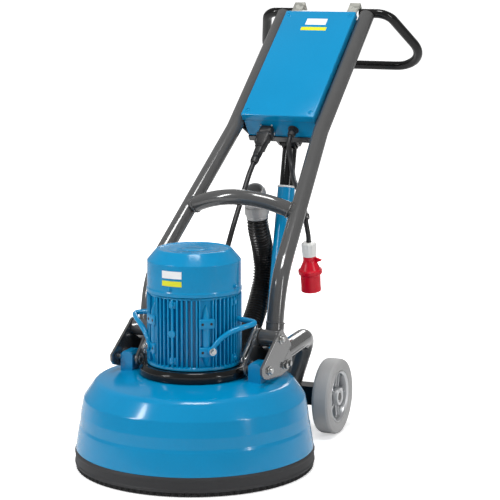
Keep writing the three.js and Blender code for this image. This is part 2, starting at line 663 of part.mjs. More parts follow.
// Sheet under the box: end lip, wings out to the tubes, and the strut's upper clevis with its pin.
function makeBoxTray() {
  const floor = block([-104, 104], [20, 456], [-53, -49.4]);
  const lip = block([-104, 104], [20, 23], [-66, -50]);
  const wings = SIDES.map(([, side]) => {
    const section = [[102, -53], [107, -53], [124.5, -22], [121, -21.8], [104, -49.5], [102, -49.5]];
    const wing = new THREE.Shape(section.map(([x, z]) => new THREE.Vector2(side * x, z)));
    const geometry = new THREE.ExtrudeGeometry(wing, { depth: 410, bevelEnabled: false });
    geometry.rotateX(Math.PI / 2);
    geometry.translate(0, 440, 0);
    return solid(geometry);
  });
  const pivot = strutHeadOnBox();
  const ear = [[20, -52], [82, -52], [66, -98], [59, -107], [45, -107], [38, -98]];
  const ears = SIDES.map(([, side]) => plateAcross(ear, spanOn(side, [24.5, 30])));
  const pin = crossBar([-33, 33], pivot.y, pivot.z, 6, 12);
  return joined([floor, lip, ...wings, ...ears, pin]);
}

function strutHeadOnBox() {
  const [dy, dz] = [STRUT_HEAD.y - BOX_START[1], STRUT_HEAD.z - BOX_START[2]];
  const [c, s] = [Math.cos(BOX_ANGLE), Math.sin(BOX_ANGLE)];
  return { y: c * dy + s * dz, z: c * dz - s * dy };
}

// Two folded strap hooks on one bar behind the box's upper end.
function makeCableHooks() {
  const strap = [[457, -53], [460, -53], [460, 12], [510, 12], [510, -14], [513, -14], [513, 15], [457, 15]];
  const straps = SIDES.map(([, side]) => plateAcross(strap, spanOn(side, [69, 100])));
  return joined([...straps, block([-104, 104], [457, 460], [-53, -42])]);
}

function makeConnector() {
  const housing = block([-60, -16], [-6, 23.6], [-38, -3]);
  const hood = new THREE.CylinderGeometry(26, 17, 82, 4, 1);
  hood.rotateY(Math.PI / 4);
  hood.scale(1, 1, 0.85);
  hood.translate(-38, -44, -20);
  const gland = bar([-38, -80, -20], [-38, -113, -20], 11, 10);
  return joined([housing, solid(hood), gland]);
}

function makePowerGland() {
  const nut = bar([36, 12, -20], [36, 23.6, -20], 13, 6);
  const dome = bar([36, -4.6, -20], [36, 13, -20], 10, 12);
  return nut.add(dome);
}

function makePushButton(x, capR, stemR, cap) {
  const stem = bar([x, 440, PANEL_Z], [x, cap[0] + 1, PANEL_Z], stemR, 12);
  return stem.add(bar([x, cap[0], PANEL_Z], [x, cap[1], PANEL_Z], capR, 20));
}

function buildHandle(machine) {
  const handle = new THREE.Group();
  machine.add(handle);
  for (const [name, side] of SIDES) addMesh(handle, `frame_tube_${name}`, makeFrameTube(side), DARK_GREY);
  addMesh(handle, "crossbar", makeCrossbar(), DARK_GREY);
  addMesh(handle, "handle_bow", makeBow(), BLACK);

  const box = new THREE.Group();
  box.position.set(0, BOX_START[1], BOX_START[2]);
  box.rotation.x = BOX_ANGLE;
  handle.add(box);
  addMesh(box, "box_tray", makeBoxTray(), DARK_GREY);
  addMesh(box, "box_body", makeBoxBody(), BLUE);
  addMesh(box, "box_cover", makeBoxCover(), BLUE);
  addMesh(box, "inverter", block([-75, 75], [110, 380], [-46, 12]), CAST_GREY);
  addMesh(box, "cable_hooks", makeCableHooks(), STEEL);
  addMesh(box, "motor_connector", makeConnector(), BLACK);
  addMesh(box, "power_gland", makePowerGland(), BLACK);
  addMesh(box, "emergency_stop", makePushButton(CONTROLS.emergency_stop, 17, 8, [459, 474]), RED);
  addMesh(box, "start_button", makePushButton(CONTROLS.start_button, 11, 7, [456, 462]), GREEN);
  addMesh(box, "stop_button", makePushButton(CONTROLS.stop_button, 11, 7, [456, 462]), RED);
  addMesh(box, "speed_knob", makePushButton(CONTROLS.speed_knob, 13, 3.4, [453, 468]), BLACK);
}

// ---------------------------------------------------------------- strut, hose and cables
const strutAngle = Math.atan2(STRUT_HEAD.z - STRUT_FOOT.z, STRUT_HEAD.y - STRUT_FOOT.y);
const strutLength = Math.hypot(STRUT_HEAD.z - STRUT_FOOT.z, STRUT_HEAD.y - STRUT_FOOT.y);
const alongStrut = (s) => [0, STRUT_FOOT.y + s * Math.cos(strutAngle), STRUT_FOOT.z + s * Math.sin(strutAngle)];
const alongCoupling = (s) => [
  HOSE_X,
  COUPLING_FOOT[1] - s * Math.sin(COUPLING_LEAN),
  COUPLING_FOOT[2] + s * Math.cos(COUPLING_LEAN),
];

// Lower strut tube with the eye for its foot pin.
function makeStrutOuter() {
  const tube = bar(alongStrut(-24), alongStrut(STRUT_OUTER_LENGTH), STRUT_OUTER_R, 20);
  const bore = bar(alongStrut(40), alongStrut(STRUT_OUTER_LENGTH + 10), STRUT_INNER_R + GAP, 20);
  const eye = crossBar([-40, 40], STRUT_FOOT.y, STRUT_FOOT.z, BOLT_R + 0.4, 16);
  return cut(tube, bore, eye);
}

// Upper strut tube. Its eye is wide, because the pin in the clevis floats in it.
function makeStrutInner() {
  const tube = bar(alongStrut(165), alongStrut(strutLength + 19), STRUT_INNER_R, 20);
  const eye = crossBar([-30, 30], STRUT_HEAD.y, STRUT_HEAD.z, 15, 16);
  return cut(tube, eye);
}

// Hose end fitting, drawn along +Z from the hose's end: cuff, neck and open mouth.
function makeCoupling() {
  const profile = [
    [0, 0.4], [31, 0.4], [31, 42], [29, 50], [24, 58], [24, 68], [27.5, 72], [28, 93], [21, 93], [21, 48], [0, 48],
  ];
  return turned(profile, 20);
}

// Five-pin industrial plug, hanging down from its cable nut.
function makePlug() {
  const profile = [
    [0, 0], [16, 0], [20, -4], [20, -36], [17.5, -40], [17.5, -52], [26, -70], [31.5, -74],
    [31.5, -86], [26.5, -89], [26.5, -134], [23.5, -134], [23.5, -100], [0, -100],
  ];
  return turned(profile, 20);
}

function buildStrutAndCords(machine) {
  addMesh(machine, "strut_outer", makeStrutOuter(), BLUE);
  addMesh(machine, "strut_inner", makeStrutInner(), BLACK);
  const coupling = new THREE.Group();
  coupling.position.set(...COUPLING_FOOT);
  coupling.rotation.x = COUPLING_LEAN;
  machine.add(coupling);
  addMesh(coupling, "hose_coupling", makeCoupling(), CAST_GREY);
  addMesh(machine, "suction_hose", pipe(HOSE_ROUTE, HOSE_R, 10), BLACK);
  addMesh(machine, "motor_cable", pipe(MOTOR_CABLE_ROUTE, MOTOR_CABLE_R, 8), BLACK);
  addMesh(machine, "power_cable", pipe(POWER_CABLE_ROUTE, POWER_CABLE_R, 8), BLACK);
  const plug = new THREE.Group();
  plug.position.set(...PLUG_TOP);
  plug.rotation.x = PLUG_LEAN;
  machine.add(plug);
  addMesh(plug, "plug", makePlug(), RED);
}

// ---------------------------------------------------------------- whole machine
const bowRear =
  FRAME_TOP[1] + 13.9 * Math.cos(BOX_ANGLE) + BOW_LENGTH * Math.cos(BOW_DROP) + BOW_TUBE_R;
const machine = new THREE.Group();
buildHead(machine);
buildChassis(machine);
buildHandle(machine);
buildStrutAndCords(machine);
machine.position.y = (SKIRT_R - bowRear) / 2;

export default machine;
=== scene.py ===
"""The looks of a walk-behind concrete grinder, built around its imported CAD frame."""

import json
import math

import bmesh
import bpy
from mathutils import Matrix, Vector


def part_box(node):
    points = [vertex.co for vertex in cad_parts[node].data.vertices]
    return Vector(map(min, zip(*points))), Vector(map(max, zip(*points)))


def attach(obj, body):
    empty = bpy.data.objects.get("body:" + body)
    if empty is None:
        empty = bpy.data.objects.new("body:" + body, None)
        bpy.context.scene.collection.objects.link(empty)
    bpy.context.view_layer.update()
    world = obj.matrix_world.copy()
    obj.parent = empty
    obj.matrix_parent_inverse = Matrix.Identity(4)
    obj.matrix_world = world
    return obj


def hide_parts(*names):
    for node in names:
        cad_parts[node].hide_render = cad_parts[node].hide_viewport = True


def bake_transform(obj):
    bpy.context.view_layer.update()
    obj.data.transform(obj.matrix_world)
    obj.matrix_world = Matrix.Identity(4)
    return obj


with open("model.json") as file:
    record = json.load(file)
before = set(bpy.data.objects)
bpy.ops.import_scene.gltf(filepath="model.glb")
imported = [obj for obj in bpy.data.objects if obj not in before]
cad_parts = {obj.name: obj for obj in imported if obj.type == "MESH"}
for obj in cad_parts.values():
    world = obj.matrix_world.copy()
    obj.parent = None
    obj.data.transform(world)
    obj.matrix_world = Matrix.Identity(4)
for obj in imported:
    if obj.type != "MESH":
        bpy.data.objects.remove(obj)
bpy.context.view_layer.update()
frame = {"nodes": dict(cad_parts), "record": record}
NODES = frame["nodes"]

# Places are in millimetres from the motor axis on the floor, as in the CAD source. at() makes them metres.
MM = 0.001
HEAD_Y = sum(corner.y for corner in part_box("skirt_band")) / 2
SIDES = (("right", 1), ("left", -1))


def at(x, y, z):
    return Vector((x * MM, y * MM + HEAD_Y, z * MM))


def middle(node):
    low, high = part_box(node)
    return (low + high) / 2


# ---------------------------------------------------------------- camera
camera = bpy.data.objects.new("camera", bpy.data.cameras.new("camera"))
bpy.context.scene.collection.objects.link(camera)
camera.location = at(1829.0, -4050.0, 1294.5)
camera.rotation_euler = (math.radians(90 - 9.616), 0, math.radians(22.526))
camera.data.lens = 131.67
camera.data.sensor_width = 36
bpy.context.scene.camera = camera

# ---------------------------------------------------------------- driving dimensions, in millimetres
PLATEAU_Z = 233
PAD_ANGLES = (-129, -51, 51, 129)
LUG_ANGLES = (-94, -8, 90, 180)
TILT_PIVOT = (-12, 258)
FRAME_PIVOT = (66, 321)
FRAME_TUBE_R = 21.2
BOX_START = (126.25, 551.4, 787.3)
FRAME_TOP = (126.25, 924, 1082)
BOX_ANGLE = math.atan2(FRAME_TOP[2] - BOX_START[2], FRAME_TOP[1] - BOX_START[1])
CROSSBAR_Y, CROSSBAR_Z = 310.9, 600
CROSSBAR_RISE, CROSSBAR_HALF, CROSSBAR_R = 47, 150, 20.5
CROSSBAR_SLOPE = math.atan2(0.788, -0.616)  # the direction it arches in, square to the frame
BOW_DROP = math.radians(40)
BOW_LENGTH = 252
BOW_R = 13.2
STRUT_FOOT = (514, 150)
STRUT_HEAD = (652, 744)
COUPLING_FOOT = (-58, 553.7, 540.8)
COUPLING_LEAN = math.radians(11.7)
CUP_LEAN = math.radians(24)
PLUG_TOP = (165.4, 361, 517)
PLUG_LEAN = 0.16
HOSE_R = 30
MOTOR_CABLE_R = 7
POWER_CABLE_R = 6.5

# ---------------------------------------------------------------- light levels
AMBIENT = 0.32
BACKGROUND = 1.1
FLOOR_GLOW = (0.5, 1.0)  # near the machine, and far from it
FLOOR_REACH = 14  # metres
FLOOR_GAP = 0.0004  # metres below the machine, so that the two faces don't coincide

# ---------------------------------------------------------------- routes
HOSE_ROUTE = [
    (-58, 300.5, 190), (-58, 328, 190), (-58, 362, 192.5), (-58, 396, 198.5), (-58, 430, 207),
    (-58, 462, 220),
    (-58, 492, 237), (-58, 520, 259), (-58, 546, 285), (-58, 569, 314), (-58, 588, 346), (-58, 598, 380),
    (-58, 600, 414), (-58, 592, 448), (-58, 578, 478), (-58, 565.8, 500), (-58, 557.9, 520.6),
    (-58, 553.8, 540.4),
]
MOTOR_CABLE_ROUTE = [
    (-38, 474.6, 701.1), (-38, 459, 688), (-38, 441, 671), (-38, 420, 647.5), (-38, 398, 622),
    (-38, 374, 594), (-38, 350, 566.5), (-38, 327, 538.5), (-38, 302, 506), (-38, 275, 471),
    (-38, 250, 442), (-38, 225, 417), (-38, 204, 396.6), (-38, 188.3, 378.8),
]
MOTOR_CABLE_SPLIT = 8  # the point of the route where the cable is cut in two
POWER_CABLE_ROUTE = [
    (36, 559.7, 768.2), (36, 551.8, 762), (37.5, 543.5, 748), (40.5, 540.5, 730), (46, 538, 708),
    (52, 528, 691),
    (63, 508, 677), (84, 466, 661), (112, 420, 646), (136, 388, 622), (152, 368, 597), (159.5, 356, 570),
    (163.7, 355.8, 549), (165.4, 358.4, 533.5), (165.4, 361, 517.5),
]


# ---------------------------------------------------------------- materials
def node(tree, kind, inputs=None, **settings):
    made = tree.nodes.new(kind)
    for key, value in settings.items():
        setattr(made, key, value)
    for key, value in (inputs or {}).items():
        made.inputs[key].default_value = value
    return made


def surface(name, color, roughness, metallic=0.0, coat=0.0, spread=0.08, grain=60, bump=0.1, depth=0.0003,
            rough_spread=0.08, stretch=(1, 1, 1), cells=False, specular=0.5):
    """A finish with slow and fine colour variation, uneven roughness and a fine bump."""
    material = bpy.data.materials.new(name)
    material.use_nodes = True
    tree = material.node_tree
    shader = tree.nodes["Principled BSDF"]
    shader.inputs["Metallic"].default_value = metallic
    shader.inputs["Coat Weight"].default_value = coat
    shader.inputs["Specular IOR Level"].default_value = specular
    shader.inputs["Coat Roughness"].default_value = 0.08
    place = node(tree, "ShaderNodeTexCoord")
    scaled = node(tree, "ShaderNodeMapping", {"Scale": stretch})
    tree.links.new(place.outputs["Object"], scaled.inputs["Vector"])
    slow = node(tree, "ShaderNodeTexNoise", {"Scale": 7.0, "Detail": 3.0})
    fine_kind = "ShaderNodeTexVoronoi" if cells else "ShaderNodeTexNoise"
    fine = node(tree, fine_kind, {"Scale": grain * 10.0})
    for texture in (slow, fine):
        tree.links.new(scaled.outputs["Vector"], texture.inputs["Vector"])
    fine_value = fine.outputs["Color"] if cells else fine.outputs[0]
    blend = node(tree, "ShaderNodeMath", operation="MULTIPLY")
    tree.links.new(slow.outputs[0], blend.inputs[0])
    tree.links.new(fine_value, blend.inputs[1])
    ramp = node(tree, "ShaderNodeValToRGB")
    ramp.color_ramp.elements[0].position = 0.1
    ramp.color_ramp.elements[1].position = 0.45
    ramp.color_ramp.elements[0].color = [c * (1 - spread) for c in color] + [1]
    ramp.color_ramp.elements[1].color = [min(1, c * (1 + spread)) for c in color] + [1]
    tree.links.new(blend.outputs[0], ramp.inputs[0])
    tree.links.new(ramp.outputs["Color"], shader.inputs["Base Color"])
    rough = node(tree, "ShaderNodeMapRange", {"To Min": max(0.02, roughness - rough_spread),
                                              "To Max": min(1.0, roughness + rough_spread)})
    tree.links.new(slow.outputs[0], rough.inputs["Value"])
    tree.links.new(rough.outputs["Result"], shader.inputs["Roughness"])
    relief = node(tree, "ShaderNodeBump", {"Strength": bump, "Distance": depth})
    tree.links.new(fine.outputs[0], relief.inputs["Height"])
    tree.links.new(relief.outputs["Normal"], shader.inputs["Normal"])
    return material


BLUE = surface("blue_paint", (0.0, 0.245, 0.5), 0.18, coat=0.2, spread=0.04, grain=25, bump=0.04, specular=0.3)
GREY = surface("grey_paint", (0.085, 0.085, 0.085), 0.14, metallic=0.1, coat=0.7, grain=40, bump=0.015)
BLACK = surface("black_paint", (0.005, 0.005, 0.005), 0.16, coat=0.15, grain=30, bump=0.04, specular=0.3)
RUBBER = surface("skirt_rubber", (0.022, 0.022, 0.024), 0.62, spread=0.25, grain=90, bump=0.3)
BRISTLE = surface("brush_bristle", (0.012, 0.012, 0.013), 0.8, spread=0.3, grain=120, bump=0.6,
                  stretch=(1, 1, 0.1))
TYRE = surface("tyre_rubber", (0.4, 0.4, 0.4), 0.62, spread=0.1, grain=70, bump=0.25)
ALUMINIUM = surface("cast_aluminium", (0.62, 0.63, 0.64), 0.32, metallic=0.9, grain=70, bump=0.2)
STEEL = surface("zinc_steel", (0.56, 0.56, 0.55), 0.28, metallic=1.0, grain=50, bump=0.1)
GALVANISED = surface("galvanised_sheet", (0.55, 0.55, 0.5), 0.4, metallic=0.8, spread=0.25, grain=9, cells=True)
IRON = surface("cast_iron", (0.16, 0.16, 0.165), 0.55, metallic=0.7, spread=0.25, grain=60, bump=0.5)
SEGMENT = surface("diamond_segment", (0.36, 0.33, 0.28), 0.6, metallic=0.5, spread=0.4, grain=110, bump=0.7)
CAST_GREY = surface("grey_casting", (0.4, 0.4, 0.4), 0.36, metallic=0.25, spread=0.15, grain=60, bump=0.25)
COPPER = surface("copper_winding", (0.5, 0.22, 0.1), 0.35, metallic=0.9, stretch=(1, 1, 30), bump=0.5)
PLASTIC = surface("black_plastic", (0.014, 0.014, 0.015), 0.42, spread=0.2, grain=110, bump=0.25)
CABLE = surface("cable_rubber", (0.012, 0.012, 0.013), 0.45, spread=0.2, grain=80, bump=0.15)
HOSE = surface("hose_plastic", (0.008, 0.008, 0.008), 0.24, spread=0.2, grain=60, bump=0.1)
RED = surface("red_plastic", (0.66, 0.002, 0.02), 0.3, specular=0.35, grain=80, bump=0.1)
GREEN = surface("green_plastic", (0.02, 0.35, 0.08), 0.35, grain=80)
LIGHT_PLASTIC = surface("light_grey_plastic", (0.82, 0.82, 0.8), 0.4, grain=80, bump=0.1)
WHITE_MARK = surface("white_mark", (0.85, 0.86, 0.87), 0.35, spread=0.03, grain=60, bump=0.03)
YELLOW_MARK = surface("yellow_mark", (0.75, 0.75, 0.02), 0.35, spread=0.03, grain=60, bump=0.03)
BRASS = surface("brass_pin", (0.7, 0.5, 0.2), 0.25, metallic=1.0)
# Near-black painted shade, put on thin discs and rings where holes and bores would be in shade.
HOLE_SHADE = surface("painted_hole_shade", (0.006, 0.006, 0.007), 0.7)

SLOT_MATERIALS = {
    "blue_paint": BLUE, "grey_paint": GREY, "black_paint": BLACK, "rubber": RUBBER, "brush": BRISTLE,
    "tyre": TYRE, "aluminium": ALUMINIUM, "steel": STEEL, "tool_steel": IRON, "copper": COPPER,
    "black_plastic": PLASTIC, "cable": CABLE, "cast_grey": CAST_GREY, "red_plastic": RED, "green_plastic": GREEN,
}
SLOT_OF = {s["node"]: s["material_slot"] for s in frame["record"]["subparts"]}


# ---------------------------------------------------------------- mesh helpers
def piece(name, bm, material, body, replaces=(), sharp=38, place=None):
    """A named object from a bmesh in millimetres, riding on a body. place is its frame, in millimetres too."""
    if place is not None:
        bmesh.ops.transform(bm, matrix=place, verts=bm.verts)
    bmesh.ops.scale(bm, vec=(MM, MM, MM), verts=bm.verts)
    bmesh.ops.translate(bm, vec=(0, HEAD_Y, 0), verts=bm.verts)
    bmesh.ops.recalc_face_normals(bm, faces=bm.faces)
    mesh = bpy.data.meshes.new(name)
    bm.to_mesh(mesh)
    bm.free()
    mesh.materials.append(material)
    mesh.shade_smooth()
    mesh.set_sharp_from_angle(angle=math.radians(sharp))
    made = bpy.data.objects.new(name, mesh)
    bpy.context.scene.collection.objects.link(made)
    if body:
        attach(made, body)
    if replaces:
        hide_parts(*replaces)
    return made


def frame_at(point, axis=(0, 0, 1), turn=0.0):
    """A frame whose +Z points along axis, placed at a point, turned about that axis."""
    rotation = Vector((0, 0, 1)).rotation_difference(Vector(axis)).to_matrix().to_4x4()
    return Matrix.Translation(Vector(point)) @ rotation @ Matrix.Rotation(turn, 4, "Z")


def merged(parts):
    """One bmesh from (bmesh, frame) pairs."""
    whole = bmesh.new()
    for part, place in parts:
        if place is not None:
            bmesh.ops.transform(part, matrix=place, verts=part.verts)
        mesh = bpy.data.meshes.new("part")
        part.to_mesh(mesh)
        part.free()
        whole.from_mesh(mesh)
        bpy.data.meshes.remove(mesh)
    return whole


def filleted(points, radii, steps=5):
    """Points joined by straight runs, with each inner corner rounded to its radius."""
    corners = [Vector(p) for p in points]
    path = [corners[0]]
    for i in range(1, len(corners) - 1):
        radius = radii[i - 1] if hasattr(radii, "__len__") else radii
        back, on = (corners[i - 1] - corners[i]), (corners[i + 1] - corners[i])
        half = back.angle(on) / 2
        if radius <= 0 or math.pi / 2 - half < 0.02:
            path.append(corners[i])
            continue
        setback = min(radius / math.tan(half), back.length * 0.49, on.length * 0.49)
        radius = setback * math.tan(half)
        back, on = back.normalized(), on.normalized()
        centre = corners[i] + (back + on).normalized() * (radius / math.sin(half))
        spoke_a, spoke_b = corners[i] + back * setback - centre, corners[i] + on * setback - centre
        turn = math.pi - 2 * half
        for k in range(steps + 1):
            f = k / steps
            spoke = spoke_a * math.sin((1 - f) * turn) + spoke_b * math.sin(f * turn)
            path.append(centre + spoke / math.sin(turn))
    path.append(corners[-1])
    return path


def skin(bm, rings, joined=False):
    """Faces between each ring of vertices and the next, and from the last to the first when joined."""
    following = rings[1:] + rings[:1] if joined else rings[1:]
    for low, high in zip(rings, following):
        for k in range(len(low)):
            j = (k + 1) % len(low)
            bm.faces.new((low[k], low[j], high[j], high[k]))


def spun(share):
    """A turn about Z by a share of a whole turn."""
    return Matrix.Rotation(share * math.tau, 4, "Z")


def lathe(profile, segments=48, fillet=0.0, steps=4):
    """A profile of (radius, height) points turned about Z. Ends on the axis close there; others stay open."""
    points = [Vector((r, h, 0)) for r, h in profile]
    if fillet:
        points = filleted(points, fillet, steps)
    bm = bmesh.new()
    rings = []
    for p in points:
        if p.x < 1e-6:
            rings.append([bm.verts.new((0, 0, p.y))])
            continue
        angles = (2 * math.pi * i / segments for i in range(segments))
        rings.append([bm.verts.new((p.x * math.cos(a), p.x * math.sin(a), p.y)) for a in angles])
    for low, high in zip(rings, rings[1:]):
        for i in range(segments):
            j = (i + 1) % segments
            corners = [low[i % len(low)], low[j % len(low)], high[j % len(high)], high[i % len(high)]]
            corners = list(dict.fromkeys(corners))
            if len(corners) > 2:
                bm.faces.new(corners)
    return bm


def ring(profile, segments=48, fillet=0.0, steps=4):
    """A closed profile of (radius, height) points turned about Z, clear of the axis."""
    start = ((profile[0][0] + profile[-1][0]) / 2, (profile[0][1] + profile[-1][1]) / 2)
    bm = lathe([start, *profile, start], segments, fillet, steps)
    bmesh.ops.remove_doubles(bm, verts=bm.verts, dist=1e-4)
    return bm


def smooth_route(points, step):
    """Points every step millimetres along a smooth curve through the given ones."""
    p = [Vector(q) for q in points]
    p = [2 * p[0] - p[1], *p, 2 * p[-1] - p[-2]]
    dense = []
    for i in range(1, len(p) - 2):
        for k in range(24):
            t = k / 24
            a, b, c, d = p[i - 1], p[i], p[i + 1], p[i + 2]
            dense.append(0.5 * (2 * b + (c - a) * t + (2 * a - 5 * b + 4 * c - d) * t * t
                                + (3 * b - a - 3 * c + d) * t ** 3))
    dense.append(p[-2])
    lengths = [0.0]
    for a, b in zip(dense, dense[1:]):
        lengths.append(lengths[-1] + (b - a).length)
    count = max(2, round(lengths[-1] / step))
    route, i = [], 0
    for k in range(count + 1):
        goal = lengths[-1] * k / count
        while i < len(lengths) - 2 and lengths[i + 1] < goal:
            i += 1
        share = (goal - lengths[i]) / max(lengths[i + 1] - lengths[i], 1e-9)
        route.append(dense[i].lerp(dense[i + 1], min(max(share, 0), 1)))
    return route


def sweep(route, radius, sides=24, radii=None):
    """A tube along a route. radii, when given, is the radius at each point."""
    bm = bmesh.new()
    directions = []
    for i in range(len(route)):
        before, after = route[max(i - 1, 0)], route[min(i + 1, len(route) - 1)]
        directions.append((after - before).normalized())
    side = directions[0].orthogonal().normalized()
    rings = []
    for i, (point, direction) in enumerate(zip(route, directions)):
        if i:
            side = directions[i - 1].rotation_difference(direction) @ side
        up = direction.cross(side).normalized()
        size = radii[i] if radii else radius
        angles = [2 * math.pi * k / sides for k in range(sides)]
        rings.append([bm.verts.new(point + (side * math.cos(a) + up * math.sin(a)) * size) for a in angles])
    skin(bm, rings)
    bm.faces.new(rings[0])
    bm.faces.new(rings[-1])
    return bm


def block(x, y, z, bevel=1.0, segments=2):
    """A box between limits, with its edges rounded."""
    bm = bmesh.new()
    bmesh.ops.create_cube(bm, size=1)
    for v in bm.verts:
        v.co = Vector([(a + b) / 2 + c * (b - a) for (a, b), c in zip((x, y, z), v.co)])
    if bevel:
        bmesh.ops.bevel(bm, geom=bm.edges, offset=bevel, segments=segments, affect="EDGES", profile=0.5)
    return bm


def prism(outline, depth, bevel=1.0, segments=2):
    """An outline of (x, y) points extruded along Z between two heights, with its edges rounded."""
    bm = bmesh.new()
    face = bm.faces.new([bm.verts.new((x, y, depth[0])) for x, y in outline])
    grown = bmesh.ops.extrude_face_region(bm, geom=[face])
    tops = [v for v in grown["geom"] if isinstance(v, bmesh.types.BMVert)]
    bmesh.ops.translate(bm, vec=(0, 0, depth[1] - depth[0]), verts=tops)
    if bevel:
        edges = [e for e in bm.edges if e.calc_face_angle(0) > math.radians(50)]
        bmesh.ops.bevel(bm, geom=edges, offset=bevel, segments=segments, affect="EDGES", profile=0.5)
    return bm


def polygon(radius, sides, turn=0.0):
    angles = (turn + 2 * math.pi * i / sides for i in range(sides))
    return [(radius * math.cos(a), radius * math.sin(a)) for a in angles]


# an x, y outline becomes y, z, extruded along X
ACROSS_YZ = Matrix(((0, 0, 1, 0), (1, 0, 0, 0), (0, 1, 0, 0), (0, 0, 0, 1)))


def hex_bolt(size=8, height=7, washer=True):
    """Hexagon head on a washer, standing on z = 0."""
    top, face = 2 + height, size * 0.72
    parts = [(prism(polygon(size, 6), (2, top), 0.8), None)]
    parts.append((lathe([(0, top), (face, top), (face, top + 0.6), (0, top + 0.6)], 20), None))
    if washer:
        parts.append((lathe([(0, 0), (size * 1.3, 0), (size * 1.3, 2), (0, 2)], 28, 0.4), None))
    return merged(parts)


def dome_screw(size=4.5, height=2.6):
    """Round screw head with a hexagon recess, standing on z = 0."""
    recess, depth = size * 0.5, height * 0.35
    head = lathe([(recess, depth), (recess, height), (size * 0.8, height * 0.85), (size, 0), (0, 0)], 24, 0.2)
    floor = lathe([(0, depth), (recess, depth)], 24)
    return merged([(head, None), (floor, None)])


def weld(centre, normal, radius, bead=2.4, ripples=40):
    """A rippled weld bead round a tube."""
    bm = bmesh.new()
    around, across = ripples * 4, 8
    rings = []
    for i in range(around):
        a = 2 * math.pi * i / around
        size = bead * (0.86 + 0.14 * math.sin(ripples * a))
        spoke = Vector((math.cos(a), math.sin(a), 0))
        section = (Vector((radius + size * x, size * y)) for x, y in polygon(1, across))
        rings.append([bm.verts.new(spoke * q.x + Vector((0, 0, q.y))) for q in section])
    skin(bm, rings, joined=True)
    return bm, frame_at(centre, normal)


def dress_cad(name, material=None, bevel=0.8):
    """A CAD node that stays: welded, softly bevelled and given its finish."""
    made = NODES[name]
    mesh = made.data
    if "custom_normal" in mesh.attributes:
        mesh.attributes.remove(mesh.attributes["custom_normal"])
    mesh.materials.clear()
    mesh.materials.append(material or SLOT_MATERIALS[SLOT_OF[name]])
    mesh.shade_smooth()
    join = made.modifiers.new("join", "WELD")
    join.merge_threshold = 2e-5
    if bevel:
        edges = made.modifiers.new("edges", "BEVEL")
        edges.width = bevel * MM
        edges.segments = 2
        edges.limit_method = "ANGLE"
        edges.angle_limit = math.radians(40)
        edges.use_clamp_overlap = True
    normals = made.modifiers.new("normals", "WEIGHTED_NORMAL")
    normals.keep_sharp = True


# ---------------------------------------------------------------- grinding head
def round_about(degrees, radius, z):
    a = math.radians(degrees)
    return (radius * math.cos(a), radius * math.sin(a), z)


def out_at(degrees, radius, z):
    """A frame whose +Z points away from the motor axis, at an angle round it."""
    return frame_at(round_about(degrees, radius, z), round_about(degrees, 1, 0))


def make_shroud():
    outer = [(297.2, 49), (295.4, 62), (288.6, 104), (286.2, 112), (283.4, 140), (281.2, 150), (276, 177),
             (245, 221), (138, PLATEAU_Z), (61, PLATEAU_Z)]
    radii = [3, 8, 6, 8, 6, 12, 26, 20]
    outside = [(p.x, p.y) for p in filleted([(r, z, 0) for r, z in outer], radii, 6)]
    inside = [(r - 3, z - (3 if z > 150 else 0)) for r, z in reversed(outside)]
    bell = ring(outside + inside, 160)
    piece("shroud_bell", bell, BLUE, "head", ["shroud"])
    port = ring([(31, 0), (31, 62), (27, 62), (27, 0)], 48, 1.2)
    piece("suction_port", port, BLUE, "head", place=frame_at((-58, 237.6, 190), (0, 1, 0)))
    seam = weld((0, 0, 0), (0, 0, 1), 31.5, 2.2, 36)[0]
    piece("port_weld", seam, BLUE, "head", place=frame_at((-58, 262, 190), (0, 1, -0.35)))


def make_skirt():
    profile = [(294, 12.5), (299.2, 12), (300, 15), (300, 18), (298.8, 20), (298.8, 38), (299.8, 40),
               (299.8, 43), (298, 48.4), (294, 48.4)]
    piece("skirt_rubber", ring(profile, 160, 0.8), RUBBER, "head", ["skirt_band"])
    bm = bmesh.new()
    count = 900
    rings = []
    for i in range(count):
        a = 2 * math.pi * i / count
        reach = 296.8 - 1.6 * (i % 2) - 0.6 * math.sin(i * 2.4)
        low = 1.2 + 0.7 * abs(math.sin(i * 1.7))
        column = [(291.2, low), (reach, low), (reach, 12.2), (291.2, 12.2)]
        rings.append([bm.verts.new((r * math.cos(a), r * math.sin(a), z)) for r, z in column])
    skin(bm, rings, joined=True)
    piece("skirt_bristles", bm, BRISTLE, "head", ["skirt_brush"], sharp=20)


def make_head_ring():
    profile = [(61, 233.6), (137.8, 233.6), (138, 252), (131, 260.8), (61, 260.8)]
    piece("ring_flange", ring(profile, 128, 5, 6), BLACK, "head", ["head_ring"])


